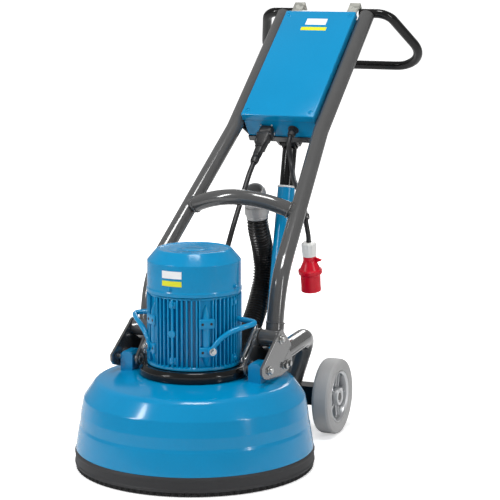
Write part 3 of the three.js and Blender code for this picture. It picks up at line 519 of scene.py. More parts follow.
def make_motor_housing():
    parts = [(lathe([(0, 262), (117.6, 262), (117.6, 269), (112, 272), (105, 272), (105, 434), (113.5, 436),
                     (113.5, 441.6), (0, 441.6)], 96, 1.4), None)]
    fins = 60
    for i in range(fins):
        degrees = -90 + 360 * (i + 0.5) / fins
        apart = min(abs((degrees - a + 180) % 360 - 180) for a in PAD_ANGLES)
        if apart < 11:
            continue
        fin = block((102, 117.6), (-2.2, 2.2), (268, 438), 1.1, 2)
        parts.append((fin, spun(degrees / 360)))
    for degrees in PAD_ANGLES:
        turn = spun(degrees / 360)
        parts.append((block((95, 108.5), (-17, 17), (267, 437), 3, 3), turn))
        for edge in (-17, 17):
            parts.append((block((95, 115.5), (edge - 1.8, edge + 1.8), (267, 437), 1.2, 2), turn))
        rib = lathe([(0, 267), (3.5, 277), (8.5, 288), (10.4, 298), (10.4, 392), (8.6, 405), (4, 419),
                     (0, 428)], 28)
        parts.append((rib, turn @ Matrix.Translation((107.5, 0, 0))))
        for height in (309, 379):
            parts.append((block((100, 120.5), (-19.5, 19.5), (height - 12, height + 12), 2.2, 3), turn))
    for degrees in LUG_ANGLES:
        turn = spun(degrees / 360)
        parts.append((block((97, 116.5), (-3.2, 3.2), (268, 438), 2.2, 3), turn))
        for height in (284, 424):
            parts.append((block((103, 115.5), (-11, 11), (height - 10, height + 10), 4, 3), turn))
        boss = lathe([(0, -10), (9.5, -10), (9.5, 5), (8, 6.4), (0, 6.4)], 32)
        parts.append((boss, out_at(degrees, 111.5, 352)))
    piece("motor_body", merged(parts), BLUE, "head", ["motor_housing"])
    bolts, holes = [], []
    for degrees in LUG_ANGLES:
        for height in (284, 424):
            bolts.append((hex_bolt(6.4, 3.2, False), out_at(degrees, 114.4, height)))
    for degrees in PAD_ANGLES:
        for height in (309, 379):
            for aside in (-11, 11):
                # Thin near-black discs on the pads: painted shade standing for the bolt holes.
                hole = lathe([(0, 0), (3.4, 0), (3.4, 1), (0, 1)], 20)
                holes.append((hole, spun(degrees / 360) @ frame_at((119.7, aside, height), (1, 0, 0))))
    piece("motor_bolts", merged(bolts), BLUE, "head")
    piece("motor_pad_hole_shade", merged(holes), HOLE_SHADE, "head")


def make_fan_cowl():
    shell = lathe([(116.4, 442.8), (118, 443.6), (118, 452), (116.6, 455), (116, 520), (93.5, 546.6),
                   (88, 548.8), (85, 546), (0, 544.4)], 128, 3.2, 5)
    parts = [(shell, None), (ring([(30, 543.6), (33, 543.6), (33, 545.6), (30, 545.6)], 64, 0.6), None),
             (ring([(62, 544), (64.5, 544), (64.5, 546.2), (62, 546.2)], 64, 0.6), None)]
    for i in range(24):
        rib = block((33, 62), (-0.8, 0.8), (543.4, 545.6), 0.4, 1)
        parts.append((rib, spun(i / 24)))
    parts.append((lathe([(0, 547.4), (24, 546.6), (30, 544.4)], 48, 1), None))
    piece("cowl_shell", merged(parts), BLUE, "head", ["fan_cowl"])
    slots = []
    for i in range(24):
        slot = block((37, 59), (-2.4, 2.4), (543.4, 545), 0.2, 1)
        slots.append((slot, spun((i + 0.5) / 24)))
    piece("cowl_air_slots", merged(slots), BLUE, "head")
    screws = [(hex_bolt(5.2, 3), out_at(degrees, 116.4, 462)) for degrees in (-97, -7, 83, 173)]
    piece("cowl_screws", merged(screws), BLUE, "head")


def curved_mark(name, material, degrees, half_width, z, radius):
    """A blank plate, bent to lie on the cowl."""
    bm = bmesh.new()
    span = half_width / radius
    section = ((radius, z[0]), (radius, z[1]), (radius - 0.8, z[1]), (radius - 0.8, z[0]))
    columns = []
    for i in range(13):
        a = math.radians(degrees) + span * (i / 6 - 1)
        columns.append([bm.verts.new((r * math.cos(a), r * math.sin(a), h)) for r, h in section])
    skin(bm, columns)
    bm.faces.new(columns[0])
    bm.faces.new(columns[-1])
    piece(name, bm, material, "head")


def make_terminal_box():
    side = [(122.5, 307), (171.5, 307), (171.5, 353), (135, 385.5), (122.5, 385.5)]
    box = prism(side, (-61.5, 29.5), 3, 3)
    lid = prism([(150, 303.5), (172.5, 303.5), (172.5, 353.6), (150, 373.5)], (-62.5, 30.5), 2, 2)
    screws = [(dome_screw(3.6, 2), frame_at((x, 172.4, z), (0, 1, 0))) for x in (-55, 23) for z in (311, 346)]
    parts = [(box, ACROSS_YZ), (lid, ACROSS_YZ)]
    piece("terminal_case", merged(parts), PLASTIC, "head", ["terminal_box"])
    piece("terminal_screws", merged(screws), STEEL, "head")
    axis = Vector((0, 0.66, 0.75)).normalized()
    cable_gland("terminal_gland", Vector((-38, 187.6, 378)) - axis * 34, axis, 34, 11, MOTOR_CABLE_R, "head")


def cable_gland(name, start, axis, length, radius, bore, body):
    """Hexagon body, fluted dome nut and sealing lip, along axis."""
    hexagon = prism(polygon(radius * 1.16, 6), (0, length * 0.36), 0.8)
    dome = fluted([(radius * 0.9, length * 0.36), (radius * 1.05, length * 0.42),
                   (radius * 1.05, length * 0.72), (bore * 1.25, length * 0.97), (0, length)], 16, 0.5)
    piece(name, merged([(hexagon, None), (dome, None)]), PLASTIC, body,
          place=frame_at(start, axis))


def fluted(profile, flutes, depth):
    """A turned profile whose middle has grip flutes."""
    segments = flutes * 4
    bm = lathe([(0, profile[0][1]), *profile], segments)
    widest = max(r for r, _ in profile)
    for v in bm.verts:
        r = math.hypot(v.co.x, v.co.y)
        if r > widest * 0.98:
            a = math.atan2(v.co.y, v.co.x)
            factor = (r - depth * (0.5 + 0.5 * math.cos(flutes * a))) / r
            v.co.x *= factor
            v.co.y *= factor
    return bm


def make_lift_loop(name, side):
    corners = [(82, -79, 312), (89, -77, 325), (104, -67.5, 343), (123, -53, 357), (144, -31, 365),
               (158, -11, 369), (162, -2, 370.5), (158, 2, 373), (146, 3, 375), (130, 3, 377), (112, 3, 379)]
    route = smooth_route([(side * x, y, z) for x, y, z in corners], 5)
    loop = sweep(route, 6.5, 20)
    foot = round_about(-45 if side > 0 else -135, 119, 311)
    outward = round_about(-45 if side > 0 else -135, 1, 0)
    eye = lathe([(0, 0), (12, 0), (12, 7), (0, 7)], 32, 1.2)
    piece(f"loop_{name}", merged([(loop, None), (eye, frame_at(foot, outward))]), BLUE, "head",
          [f"lift_loop_{name}"])
    bolt_at = Vector(foot) + Vector(outward) * 7
    piece(f"loop_bolt_{name}", hex_bolt(7, 6), STEEL, "head", place=frame_at(bolt_at, outward))


def make_head():
    make_shroud()
    make_skirt()
    make_head_ring()
    make_motor_housing()
    make_fan_cowl()
    curved_mark("cowl_plain_mark", WHITE_MARK, -94, 27, (489, 507), 117.4)
    curved_mark("cowl_plain_strip", YELLOW_MARK, -94, 27, (470, 483), 117.4)
    make_terminal_box()
    for name, side in SIDES:
        make_lift_loop(name, side)
    for name in ("head_frame", "stator", "bearing_bottom", "end_shield", "motor_shaft", "rotor_core",
                 "cooling_fan", "drive_plate"):
        dress_cad(name, bevel=1.2 if name == "head_frame" else 0.6)
    for i in (1, 2, 3):
        dress_cad(f"planet_gear_{i}", bevel=0.3)
        make_grinding_disc(i)


def make_grinding_disc(i):
    """Tool plate with six segments, and the three screws that hold it."""
    centre = middle(f"grinding_disc_{i}")
    place = Matrix.Translation((centre.x / MM, (centre.y - HEAD_Y) / MM, 0))
    body = f"satellite_{i}"
    plate = lathe([(0, 14.4), (109, 14.4), (112, 16), (112, 25), (34, 30), (30, 33), (30, 59.4), (0, 59.4)],
                  72, 1)
    piece(f"tool_plate_{i}", plate, IRON, body, [f"grinding_disc_{i}"], place=place)
    segments, screws = [], []
    for k in range(6):
        segments.append((block((85, 99), (-21.5, 21.5), (0, 14.8), 0.8, 2), spun(k / 6)))
    for k in range(3):
        screws.append((dome_screw(7, 3), spun((k + 0.5) / 3) @ frame_at((52, 0, 14.5), (0, 0, -1))))
    piece(f"segments_{i}", merged(segments), SEGMENT, body, place=place)
    piece(f"plate_screws_{i}", merged(screws), STEEL, body, place=place)


# ---------------------------------------------------------------- chassis
def make_tube(name, route, radius, material, body, replaces, extra=()):
    parts = [(sweep(route, radius, 40), None), *extra]
    return piece(name, merged(parts), material, body, replaces)


def make_chassis_tubes():
    for name, side in SIDES:
        corners = [(side * x, y, z) for x, y, z in ((175.3, 110, 266), (171, 341, 275), (102.3, 398.8, 112))]
        route = filleted(corners, [64], 14)
        bead = weld((side * 107.7, 394.2, 126.5), (side * -0.35, 0.3, -0.85), 26, 2.6, 30)
        make_tube(f"rear_tube_{name}", route, 24, GREY, "chassis", [f"chassis_tube_{name}"],
                  [bead])


def make_bolt_pair(node_name, side, pivot):
    """The outer head of a pivot bolt, with its washers and a shank, in place of the CAD bolt."""
    y, z = pivot
    washer = lathe([(0, 0), (12, 0), (12, 3.6), (0, 3.6)], 28, 0.6)
    shank = lathe([(0, 0), (8, 0), (8, 62), (0, 62)], 32)
    parts = [(hex_bolt(9, 6), frame_at((side * 205.6, y, z), (side, 0, 0))),
             (washer, frame_at((side * 144.2, y, z), (-side, 0, 0))),
             (shank, frame_at((side * 144, y, z), (side, 0, 0)))]
    piece(f"{node_name}_fine", merged(parts), STEEL, "chassis", [node_name])


def make_bracket_details(name, side):
    dress_cad(f"pivot_bracket_{name}", bevel=1.4)
    bolts = [(hex_bolt(7.5, 6), frame_at((side * 205.6, y, 250), (side, 0, 0))) for y in (87, 114)]
    bolts += [(hex_bolt(6.5, 5), frame_at((side * 144.4, y, 250), (-side, 0, 0))) for y in (87, 114)]
    piece(f"stop_bolts_{name}", merged(bolts), STEEL, "chassis")
    notches = []
    for k in range(13):
        f = (k + 0.5) / 13
        y, z = -42 + f * 84, 279.5 + f * 51
        groove = lathe([(0, 0), (2.3, 0), (2.3, 0.7), (0, 0.7)], 16)
        notches.append((groove, frame_at((side * 205.2, y, z), (side, 0, 0))))
    piece(f"bracket_holes_{name}", merged(notches), STEEL, "chassis")
    start, end = Vector((side * 205.3, 60, 242)), Vector((side * 205.3, 128, 290))
    drops = [(lathe([(0, -1.4), (2.4, 0), (0, 1.4)], 10), frame_at(start.lerp(end, k / 14), (side, 0, 0)))
             for k in range(15)]
    piece(f"bracket_weld_{name}", merged(drops), GREY, "chassis")


def make_spring(name, side):
    start, end = Vector((side * 132, -13, 272)), Vector((side * 132, 88, 346))
    axis = (end - start).normalized()
    place = frame_at(start, axis)
    length = (end - start).length
    turns, coil, wire = 24, 5.8, 1.35
    body_low, body_high = 14, length - 14
    steps = turns * 12
    points = []
    for i in range(steps + 1):
        a = 2 * math.pi * i / 12
        height = body_low + (body_high - body_low) * i / steps
        points.append(Vector((coil * math.cos(a), coil * math.sin(a), height)))
    parts = [(sweep(points, wire, 8), None)]
    for height in (body_low - 7, body_high + 7):
        angles = (math.tau * i / 20 for i in range(21))
        hook = [Vector((0, 6.6 * math.cos(a), height + 6.6 * math.sin(a))) for a in angles]
        parts.append((sweep(hook, 1.6, 10), None))
    bm = merged([(part, place) for part, _ in parts])
    made = piece(f"spring_{name}", bm, STEEL, None)
    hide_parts(f"tilt_spring_{name}")
    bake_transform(made)


def make_wheel(name, side):
    centre = middle(f"tyre_{name}")
    at_wheel = frame_at((centre.x / MM, (centre.y - HEAD_Y) / MM, centre.z / MM), (side, 0, 0))
    body = f"wheel_{name}"
    tyre = ring([(68.4, -21), (74, -23.4), (90, -25), (97.5, -22), (100, -16), (100, 16), (97.5, 22), (90, 25),
                 (74, 23.4), (68.4, 21)], 120, 3.2, 4)
    piece(f"tyre_{name}_fine", tyre, TYRE, body, [f"tyre_{name}"], place=at_wheel)
    rim = ring([(60, -19), (65, -22), (68, -22), (68, 22), (65.5, 22), (61, 18), (59, 4), (59, -4)], 96, 1.2)
    boss = ring([(10.4, -22), (24, -22), (25, 10), (23.5, 22.6), (15, 22.8), (13.5, 19), (10.4, 19)], 64, 1.0)
    parts = [(rim, None), (boss, None)]
    for k in range(5):
        turn = spun(k / 5 + 0.25)
        outline = [(20, -8), (40, -6), (54, -8), (62, -16), (62, 16), (54, 8), (40, 6), (20, 8)]
        parts.append((prism(outline, (-9, 9), 1.6, 3), turn))
        parts.append((block((22, 60), (-2, 2), (8, 14), 1.2, 2), turn))
    piece(f"rim_{name}", merged(parts), ALUMINIUM, body, [f"wheel_hub_{name}"], place=at_wheel)
    # Near-black disc and ring inside the hub: painted shade for its bore.
    socket = lathe([(0, 19.4), (7.4, 19.4), (7.4, 21), (10.2, 21)], 6)
    bearing = ring([(10.6, 16), (15, 16), (15, 18.6), (10.6, 18.6)], 48)
    piece(f"hub_bore_shade_{name}", merged([(socket, None), (bearing, None)]), HOLE_SHADE, body,
          place=at_wheel)


def make_chassis():
    dress_cad("axle_beam", bevel=1.6)
    make_chassis_tubes()
    for name, side in SIDES:
        make_bracket_details(name, side)
        make_bolt_pair(f"head_pivot_bolt_{name}", side, TILT_PIVOT)
        make_bolt_pair(f"frame_pivot_bolt_{name}", side, FRAME_PIVOT)
        make_spring(name, side)
        make_wheel(name, side)


# ---------------------------------------------------------------- handle frame and control box
BOX_FRAME = Matrix.Translation(Vector((0, *BOX_START[1:]))) @ Matrix.Rotation(BOX_ANGLE, 4, "X")


def in_box(x, y, z):
    """A point of the control box, x across, y up along the frame and z out of the cover."""
    return BOX_FRAME @ Vector((x, y, z))


def make_frame_tubes():
    for name, side in SIDES:
        corners = [(side * x, y, z) for x, y, z in ((175, 91, 302), (175, 125, 455), BOX_START, FRAME_TOP)]
        route = filleted(corners, [220, 260], 14)
        barrel = ring([(8.4, -23.6), (21, -23.6), (21, 23.6), (8.4, 23.6)], 48, 1.2)
        cap = lathe([(0, 0), (FRAME_TUBE_R - 1, 0), (FRAME_TUBE_R - 1, 1.2), (0, 1.2)], 40, 0.5)
        along = Vector((0, 34, 153)).normalized()
        sleeve = ring([(20.5, 0), (23.2, 0), (23.2, 50), (20.5, 50)], 48, 1)
        extra = [
            (barrel, frame_at((side * 175, *FRAME_PIVOT), (1, 0, 0))),
            (cap, frame_at(corners[-1], (0, math.cos(BOX_ANGLE), math.sin(BOX_ANGLE)))),
            (sleeve, frame_at((side * 175, 91.2, 303), along)),
            weld((side * 175, 102.2, 353), along, 22, 2.6, 34),
        ]
        if side > 0:
            extra += cable_clip()
        make_tube(f"handle_tube_{name}", route, FRAME_TUBE_R, GREY, "handle", [f"frame_tube_{name}"],
                  extra)


def cable_clip():
    """The ring behind the right tube that the power cable hangs through."""
    axis = Vector((3.7, -5.2, -12)).normalized()
    holder = ring([(POWER_CABLE_R + 1.4, -6.5), (POWER_CABLE_R + 4.4, -6.5), (POWER_CABLE_R + 4.4, 6.5),
                   (POWER_CABLE_R + 1.4, 6.5)], 32, 1)
    stem = sweep([Vector((151, 334, 615)), Vector((153.5, 346, 601)), Vector((154.8, 353.5, 592))], 4, 14)
    return [(holder, frame_at((155.75, 362, 583.5), axis)), (stem, None)]


def make_crossbar():
    route = []
    for i in range(33):
        x = CROSSBAR_HALF * (i / 16 - 1)
        lift = CROSSBAR_RISE * (1 - (x / CROSSBAR_HALF) ** 2)
        y, z = CROSSBAR_Y + lift * math.cos(CROSSBAR_SLOPE), CROSSBAR_Z + lift * math.sin(CROSSBAR_SLOPE)
        route.append(Vector((x, y, z)))
    beads = []
    for side in (-1, 1):
        centre = (side * 132.5, CROSSBAR_Y - 6.4, CROSSBAR_Z + 8.2)
        beads.append(weld(centre, (1, 0.24 * side, -0.44 * side), 20.6, 3.2, 26))
    make_tube("arched_crossbar", route, CROSSBAR_R, GREY, "handle", ["crossbar"], beads)


def make_bow():
    top = Vector(FRAME_TOP) + 13.9 * Vector((0, math.cos(BOX_ANGLE), math.sin(BOX_ANGLE)))

    def bow_point(x, s):
        return (x, top.y + s * math.cos(BOW_DROP), top.z - s * math.sin(BOW_DROP))

    corners = [bow_point(101, 3), bow_point(184, 3), bow_point(266, BOW_LENGTH), bow_point(-266, BOW_LENGTH),
               bow_point(-184, 3), bow_point(-101, 3)]
    route = filleted(corners, [45, 84, 84, 45], 16)
    end = [(0, 0), (11, 0), (BOW_R, 2.5), (BOW_R, 5)]
    ends = [(lathe(end, 32, 1), frame_at(bow_point(s * 101, 3), (s, 0, 0))) for s in (1, -1)]
    make_tube("operator_bow", route, BOW_R, BLACK, "handle", ["handle_bow"], ends)


def make_control_box():
    cover = block((-106, 106), (21.5, 456), (10.4, 32), 3, 3)
    piece("cover_shell", cover, BLUE, "handle", ["box_cover"], place=BOX_FRAME)
    screws = [(dome_screw(7.4, 2.2), frame_at((x, y, 31.7), (0, 0, 1))) for x in (-92, 92) for y in (40, 438)]
    piece("cover_screws", merged(screws), BLUE, "handle", place=BOX_FRAME)
    edges = (((-106.4, 106.4), (21.2, 24.5)), ((-106.4, 106.4), (453, 456.3)),
             ((-106.4, -103.6), (22, 456)), ((103.6, 106.4), (22, 456)))
    lip = merged([(block(x, y, (11, 13.5), 1, 2), None) for x, y in edges])
    piece("cover_lip", lip, BLUE, "handle", place=BOX_FRAME)
    piece("cover_plain_mark", block((-31, 31), (396, 422), (31.6, 32.5), 0.3, 1), WHITE_MARK, "handle",
          place=BOX_FRAME)
    piece("cover_plain_strip", block((-38, 38), (372, 386), (31.6, 32.4), 0.3, 1), YELLOW_MARK, "handle",
          place=BOX_FRAME)
    seam = [(block((x0, x1), (y0, y1), (8.6, 10.2), 0.3, 1), None) for x0, x1, y0, y1 in
            ((-103.4, 103.4, 23.6, 25.2), (-103.4, -102.4, 24, 452), (102.4, 103.4, 24, 452))]
    piece("cover_seal", merged(seam), RUBBER, "handle", place=BOX_FRAME)
    louvres = []
    for side in (-1, 1):
        for k in range(9):
            y = 120 + 14 * k
            louvres.append((block((side * 103 - 1.6, side * 103 + 1.6), (y, y + 5), (-38, -4), 1.2, 2), None))
    piece("body_louvres", merged(louvres), BLUE, "handle", place=BOX_FRAME)
    for name in ("box_body", "box_tray", "inverter"):
        dress_cad(name, bevel=1.0)
    dress_cad("cable_hooks", GALVANISED, 0.8)


def make_connector():
    base = block((-58, -18), (-5, 23.4), (-37, -4), 9, 4)
    hood = bmesh.new()
    sections = [(-4, 17, 14), (-22, 17, 14), (-25, 15.5, 12.5), (-44, 14.5, 12), (-58, 11, 10.5),
                (-80, 10.5, 10)]
    rings = []
    for y, half_x, half_z in sections:
        outline = filleted([(half_x, 0, 0), (half_x, half_z, 0), (-half_x, half_z, 0), (-half_x, -half_z, 0),
                            (half_x, -half_z, 0), (half_x, 0, 0)], 6, 4)[:-1]
        rings.append([hood.verts.new((p.x - 38, y, p.y - 20)) for p in outline])
    skin(hood, rings)
    hood.faces.new(rings[0])
    hood.faces.new(rings[-1])
    lever = block((-60, -16), (-12, -3), (-32, -8), 2.5, 3)
    thumb = block((-61, -54), (-34, -14), (-26, -14), 2, 2)
    ribs = [(block((-50, -26), (y, y + 2.6), (-34, -6.6), 1.2, 2), None) for y in (-56, -50, -44)]
    parts = [(base, None), (lever, None), (thumb, None), (hood, None), *ribs]
    piece("connector_hood", merged(parts), PLASTIC, "handle", ["motor_connector"],
          place=BOX_FRAME)
    dome = [(0, 2.2), (3.4, 1.6), (4.2, 0), (0, 0)]
    rivets = [(lathe(dome, 20), frame_at((-38 + s * 24.2, 4.5, -20), (s, 0, 0))) for s in (-1, 1)]
    rivets += [(dome_screw(3.2, 1.8), frame_at((x, 18, -3.2), (0, 0, 1))) for x in (-54, -22)]
    piece("connector_rivets", merged(rivets), STEEL, "handle", place=BOX_FRAME)
    back = Vector((0, -math.cos(BOX_ANGLE), -math.sin(BOX_ANGLE)))
    cable_gland("connector_gland", in_box(-38, -78, -20), back, 35, 11, MOTOR_CABLE_R, "handle")


def make_power_gland():
    back = Vector((0, -math.cos(BOX_ANGLE), -math.sin(BOX_ANGLE)))
    start = in_box(36, 23.4, -20)
    piece("gland_locknut", lathe([(0, 0), (15, 0), (15, 3), (0, 3)], 40, 0.8), PLASTIC, "handle",
          ["power_gland"], place=frame_at(start, back))
    cable_gland("gland_body", start, back, 28, 11, POWER_CABLE_R, "handle")


def button(name, node_name, body, x, profile, material):
    """A control on the box's upper end, turned about the direction it is pressed in."""
    turned = lathe(profile, 48, 0.6)
    piece(name, turned, material, body, [node_name], place=BOX_FRAME @ frame_at((x, 0, -18), (0, 1, 0)))


def make_controls():
    mushroom = [(0, 440), (8, 440), (8, 459), (13, 460), (17, 464), (16.4, 470), (9, 473.6), (0, 474)]
    cap = [(0, 440), (7, 440), (7, 456), (11, 456), (11, 461), (0, 462)]
    button("stop_mushroom", "emergency_stop", "emergency_stop_body", -42, mushroom, RED)
    button("start_cap", "start_button", "start_body", -4, cap, GREEN)
    button("stop_cap", "stop_button", "stop_body", 24, cap, RED)
    knob = fluted([(12.8, 453), (12.8, 463), (10.5, 467.6), (0, 468)], 14, 0.9)
    place = BOX_FRAME @ frame_at((54, 0, -18), (0, 1, 0))
    piece("dial_knob", knob, PLASTIC, "knob_body", ["speed_knob"], place=place)
    piece("dial_pointer", block((-0.8, 0.8), (2, 10.5), (467.2, 468.2), 0.2, 1), WHITE_MARK, "knob_body",
          place=place)
    plate = ring([(9, 452.1), (19.5, 452.1), (19.5, 453.4), (9, 453.4)], 48)
    piece("stop_plate", plate, YELLOW_MARK, "handle",
          place=BOX_FRAME @ frame_at((-42, 0, -18), (0, 1, 0)))
    ticks = []
    for k in range(9):
        a = math.radians(-135 + k * 270 / 8)
        mark = block((-0.5, 0.5), (13.6, 16.4), (452, 452.6), 0.1, 1)
        ticks.append((mark, Matrix.Rotation(a, 4, "Z")))
    piece("dial_ticks", merged(ticks), WHITE_MARK, "handle", place=place)


def make_handle():
    make_frame_tubes()
    make_crossbar()
    make_bow()
    make_control_box()
    make_connector()
    make_power_gland()
    make_controls()


# ---------------------------------------------------------------- strut, hose and cables
def make_strut():
    foot, head = Vector((0, *STRUT_FOOT)), Vector((0, *STRUT_HEAD))
    axis = (head - foot).normalized()
    along = frame_at(foot, axis)
    length = (head - foot).length
    mouth = 484
    tube = ring([(20.4, 30), (23.8, 30), (23.8, mouth), (20.4, mouth)], 48, 0.8)
    neck = lathe([(0, -4), (17, -4), (23.8, 22), (23.8, 32), (0, 32)], 48, 2)
    eye = ring([(8.5, -24), (19, -24), (19, 24), (8.5, 24)], 48, 1.4)
    piece("strut_lower_tube", merged([(tube, along), (neck, along), (eye, frame_at(foot, (1, 0, 0)))]), BLUE,
          "strut_lower", ["strut_outer"])
    wiper = ring([(20.6, mouth - 2), (25, mouth - 2), (25, mouth + 3), (20.6, mouth + 3)], 48, 0.8)
    piece("strut_wiper", wiper, LIGHT_PLASTIC, "strut_lower", place=along)
    rod = lathe([(0, 166), (19.8, 166), (19.8, length - 20), (15, length - 12), (0, length - 12)], 48, 1)
    top_eye = ring([(14.8, -19.6), (20.5, -19.6), (20.5, 19.6), (14.8, 19.6)], 48, 1)
    shoulder = [(rod, along), (top_eye, frame_at(head, (1, 0, 0)))]
    piece("strut_upper_tube", merged(shoulder), BLACK, "strut_upper", ["strut_inner"])


def make_hose():
    """Corrugated hose: a round rib about every 9 mm."""
    rib, per_rib = 8.6, 8
    route = smooth_route(HOSE_ROUTE, rib / per_rib)
    radii = []
    for i in range(len(route)):
        wave = 0.5 + 0.5 * math.cos(2 * math.pi * i / per_rib)
        radii.append(HOSE_R - 5.4 * (1 - wave))
    made = piece("corrugated_hose", sweep(route, HOSE_R, 40, radii), HOSE, None, sharp=75)
    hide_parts("suction_hose")
    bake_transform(made)
    clamp = ring([(30.6, 0), (32.6, 0), (32.6, 9), (30.6, 9)], 64, 0.5)
    worm = block((30, 40), (-8, 8), (1, 8), 1.5, 2)
    piece("port_clamp", merged([(clamp, None), (worm, Matrix.Rotation(2.2, 4, "Z"))]), STEEL, "head",
          place=frame_at((-58, 289, 190), (0, 1, 0)))


def make_coupling():
    """Ribbed collar round the hose's end, and an open cup on it that leans further forward."""
    place = frame_at(COUPLING_FOOT, (0, -math.sin(COUPLING_LEAN), math.cos(COUPLING_LEAN)))
    collar = ring([(27, 0.6), (29.4, 0.6), (30.6, 4), (30.6, 7), (29.2, 9), (30.4, 12), (30.4, 38), (29, 46),
                   (24, 60), (21, 60), (21, 54), (27, 40)], 72, 1.2, 3)
    grips = [(block((32.4, 33.7), (-1.6, 1.6), (15.5, 33), 0.6, 2), spun(k / 24)) for k in range(24)]
    knee = Matrix.Translation((0, 0, 52))
    elbow = knee @ Matrix.Rotation(CUP_LEAN, 4, "X") @ knee.inverted()
    cup = ring([(21, 50), (24.4, 50), (24.4, 60), (27, 66), (28, 72), (28, 74), (29.6, 76), (29.6, 88),
                (28, 91), (25, 91), (24.2, 88), (23.4, 68), (21, 62)], 72, 1.4, 3)
    ears = [(block((27, 33), (-4, 4), (68, 86), 1.6, 2), elbow @ Matrix.Rotation(a, 4, "Z"))
            for a in (0.5, 0.5 + math.pi)]
    catch = [Vector((34 * math.cos(a), 34 * math.sin(a), 62 - 6 * math.cos(2 * a))) for a in
             (math.radians(-10 - 8 * k) for k in range(21))]
    sleeve = ring([(32.95, 13.2), (33.3, 13.2), (33.3, 34.8), (32.95, 34.8)], 72)
    parts = [(collar, None), (sleeve, None), *grips, (cup, elbow), *ears]
    piece("coupling_body", merged(parts), CAST_GREY, "chassis", ["hose_coupling"], place=place)
    piece("coupling_catch", sweep(catch, 1.5, 10), STEEL, "chassis", place=place)


def make_motor_cable():
    """Two stretches, cut at one point of the route."""
    whole = smooth_route(MOTOR_CABLE_ROUTE, 5)
    corner = Vector(MOTOR_CABLE_ROUTE[MOTOR_CABLE_SPLIT])
    cut = min(range(len(whole)), key=lambda i: (whole[i] - corner).length)
    stretches = (("motor_lead_upper", whole[:cut + 1], "handle", "chassis"),
                 ("motor_lead_lower", whole[cut:], "chassis", "head"))
    for name, route, near, far in stretches:
        made = piece(name, sweep(route, MOTOR_CABLE_R, 20), CABLE, None)
        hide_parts("motor_cable")
        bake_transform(made)


def make_power_cable():
    route = smooth_route(POWER_CABLE_ROUTE, 5)
    made = piece("power_lead", sweep(route, POWER_CABLE_R, 20), CABLE, "handle", ["power_cable"])


def make_plug():
    place = Matrix.Translation(Vector(PLUG_TOP)) @ Matrix.Rotation(PLUG_LEAN, 4, "X")
    nut = fluted([(16, 0), (19.8, -3), (19.8, -26), (18.6, -30), (18.6, -37), (0, -37)], 12, 1.4)
    piece("plug_nut", nut, LIGHT_PLASTIC, "handle", place=place)
    shell = lathe([(0, -36.5), (17.2, -36.5), (17.2, -50), (19.5, -56), (25.4, -69), (27, -73), (31.3, -75),
                   (31.3, -85), (27.2, -88), (26.6, -92), (26, -120), (26.6, -133.6), (24, -133.6),
                   (23.6, -101), (0, -101)], 72, 1.2, 4)
    parts = [(shell, None)]
    parts += [(block((30.4, 31.4), (-1.1, 1.1), (-84, -76), 0.3, 1), spun(k / 18)) for k in range(18)]
    tab = prism([(14, -39), (34, -46), (33, -49), (24, -52), (19, -57), (14, -57)], (-4, 4), 1.2, 2)
    upright = Matrix(((1, 0, 0, 0), (0, 0, -1, 0), (0, 1, 0, 0), (0, 0, 0, 1)))
    parts.append((tab, upright))
    key = block((24, 28.4), (-4, 4), (-132, -92), 1.2, 2)
    parts.append((key, Matrix.Rotation(-2.2, 4, "Z")))
    piece("plug_body", merged(parts), RED, "handle", ["plug"], place=place)
    pins = [(lathe([(0, -100), (3, -100), (3, -127), (2, -129), (0, -129)], 20, 0.4),
             Matrix.Translation((14 * math.cos(a), 14 * math.sin(a), 0)))
            for a in (math.tau * k / 5 for k in range(5))]
    piece("plug_pins", merged(pins), BRASS, "handle", place=place)


# ---------------------------------------------------------------- studio
def area_light(name, place, target, size, power):
    light = bpy.data.lights.new(name, "AREA")
    light.shape = "RECTANGLE"
    light.size, light.size_y = size
    light.energy = power
    made = bpy.data.objects.new(name, light)
    bpy.context.scene.collection.objects.link(made)
    made.location = Vector(place)
    made.rotation_euler = (Vector(target) - Vector(place)).to_track_quat("-Z", "Y").to_euler()


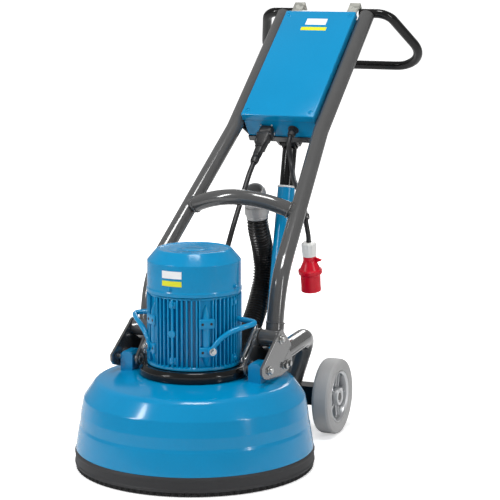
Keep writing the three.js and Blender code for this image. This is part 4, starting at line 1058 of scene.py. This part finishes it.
def studio_floor():
    """White, with a light of its own that only shows directly, so that no horizon shows."""
    material = surface("studio_floor", (0.86, 0.86, 0.86), 0.8, spread=0.01, bump=0.02, specular=0.1)
    tree = material.node_tree
    shader = tree.nodes["Principled BSDF"]
    place = node(tree, "ShaderNodeTexCoord")
    distance = node(tree, "ShaderNodeVectorMath", operation="LENGTH")
    tree.links.new(place.outputs["Object"], distance.inputs[0])
    glow = node(tree, "ShaderNodeMapRange", {"From Min": 0.3, "From Max": 1.6, "To Min": FLOOR_GLOW[0],
                                             "To Max": FLOOR_GLOW[1]})
    tree.links.new(distance.outputs["Value"], glow.inputs["Value"])
    path = node(tree, "ShaderNodeLightPath")
    seen = node(tree, "ShaderNodeMath", operation="MULTIPLY")
    tree.links.new(path.outputs["Is Camera Ray"], seen.inputs[0])
    tree.links.new(glow.outputs["Result"], seen.inputs[1])
    tree.links.new(seen.outputs[0], shader.inputs["Emission Strength"])
    shader.inputs["Emission Color"].default_value = (1, 1, 1, 1)
    return material


def make_studio():
    world = bpy.data.worlds.new("studio")
    bpy.context.scene.world = world
    world.use_nodes = True
    tree = world.node_tree
    background = tree.nodes["Background"]
    path = node(tree, "ShaderNodeLightPath")
    level = node(tree, "ShaderNodeMapRange", {"To Min": AMBIENT, "To Max": BACKGROUND})
    tree.links.new(path.outputs["Is Camera Ray"], level.inputs["Value"])
    tree.links.new(level.outputs["Result"], background.inputs["Strength"])
    background.inputs["Color"].default_value = (1, 1, 1, 1)
    floor_mesh = bpy.data.meshes.new("floor")
    r = FLOOR_REACH
    corners = [(x, y, -FLOOR_GAP) for x, y in ((-r, -r), (r, -r), (r, r), (-r, r))]
    floor_mesh.from_pydata(corners, [], [(0, 1, 2, 3)])
    floor_mesh.materials.append(studio_floor())
    floor = bpy.data.objects.new("floor", floor_mesh)
    bpy.context.scene.collection.objects.link(floor)
    area_light("key", (-2.6, -3.2, 2.6), (0, -0.2, 0.5), (0.35, 2.4), 80)
    area_light("top", (0.3, -0.9, 4.2), (0, 0, 0.4), (1.3, 1.3), 90)
    area_light("side", (3.4, -1.2, 1.8), (0, 0, 0.5), (0.22, 2.4), 34)
    area_light("back", (-0.8, 3.8, 2.6), (0, 0, 0.6), (2.0, 1.4), 45)
    bpy.context.scene.view_settings.view_transform = "Standard"


make_head()
make_chassis()
make_handle()
make_strut()
make_coupling()
make_hose()
make_motor_cable()
make_plug()
make_power_cable()
make_studio()
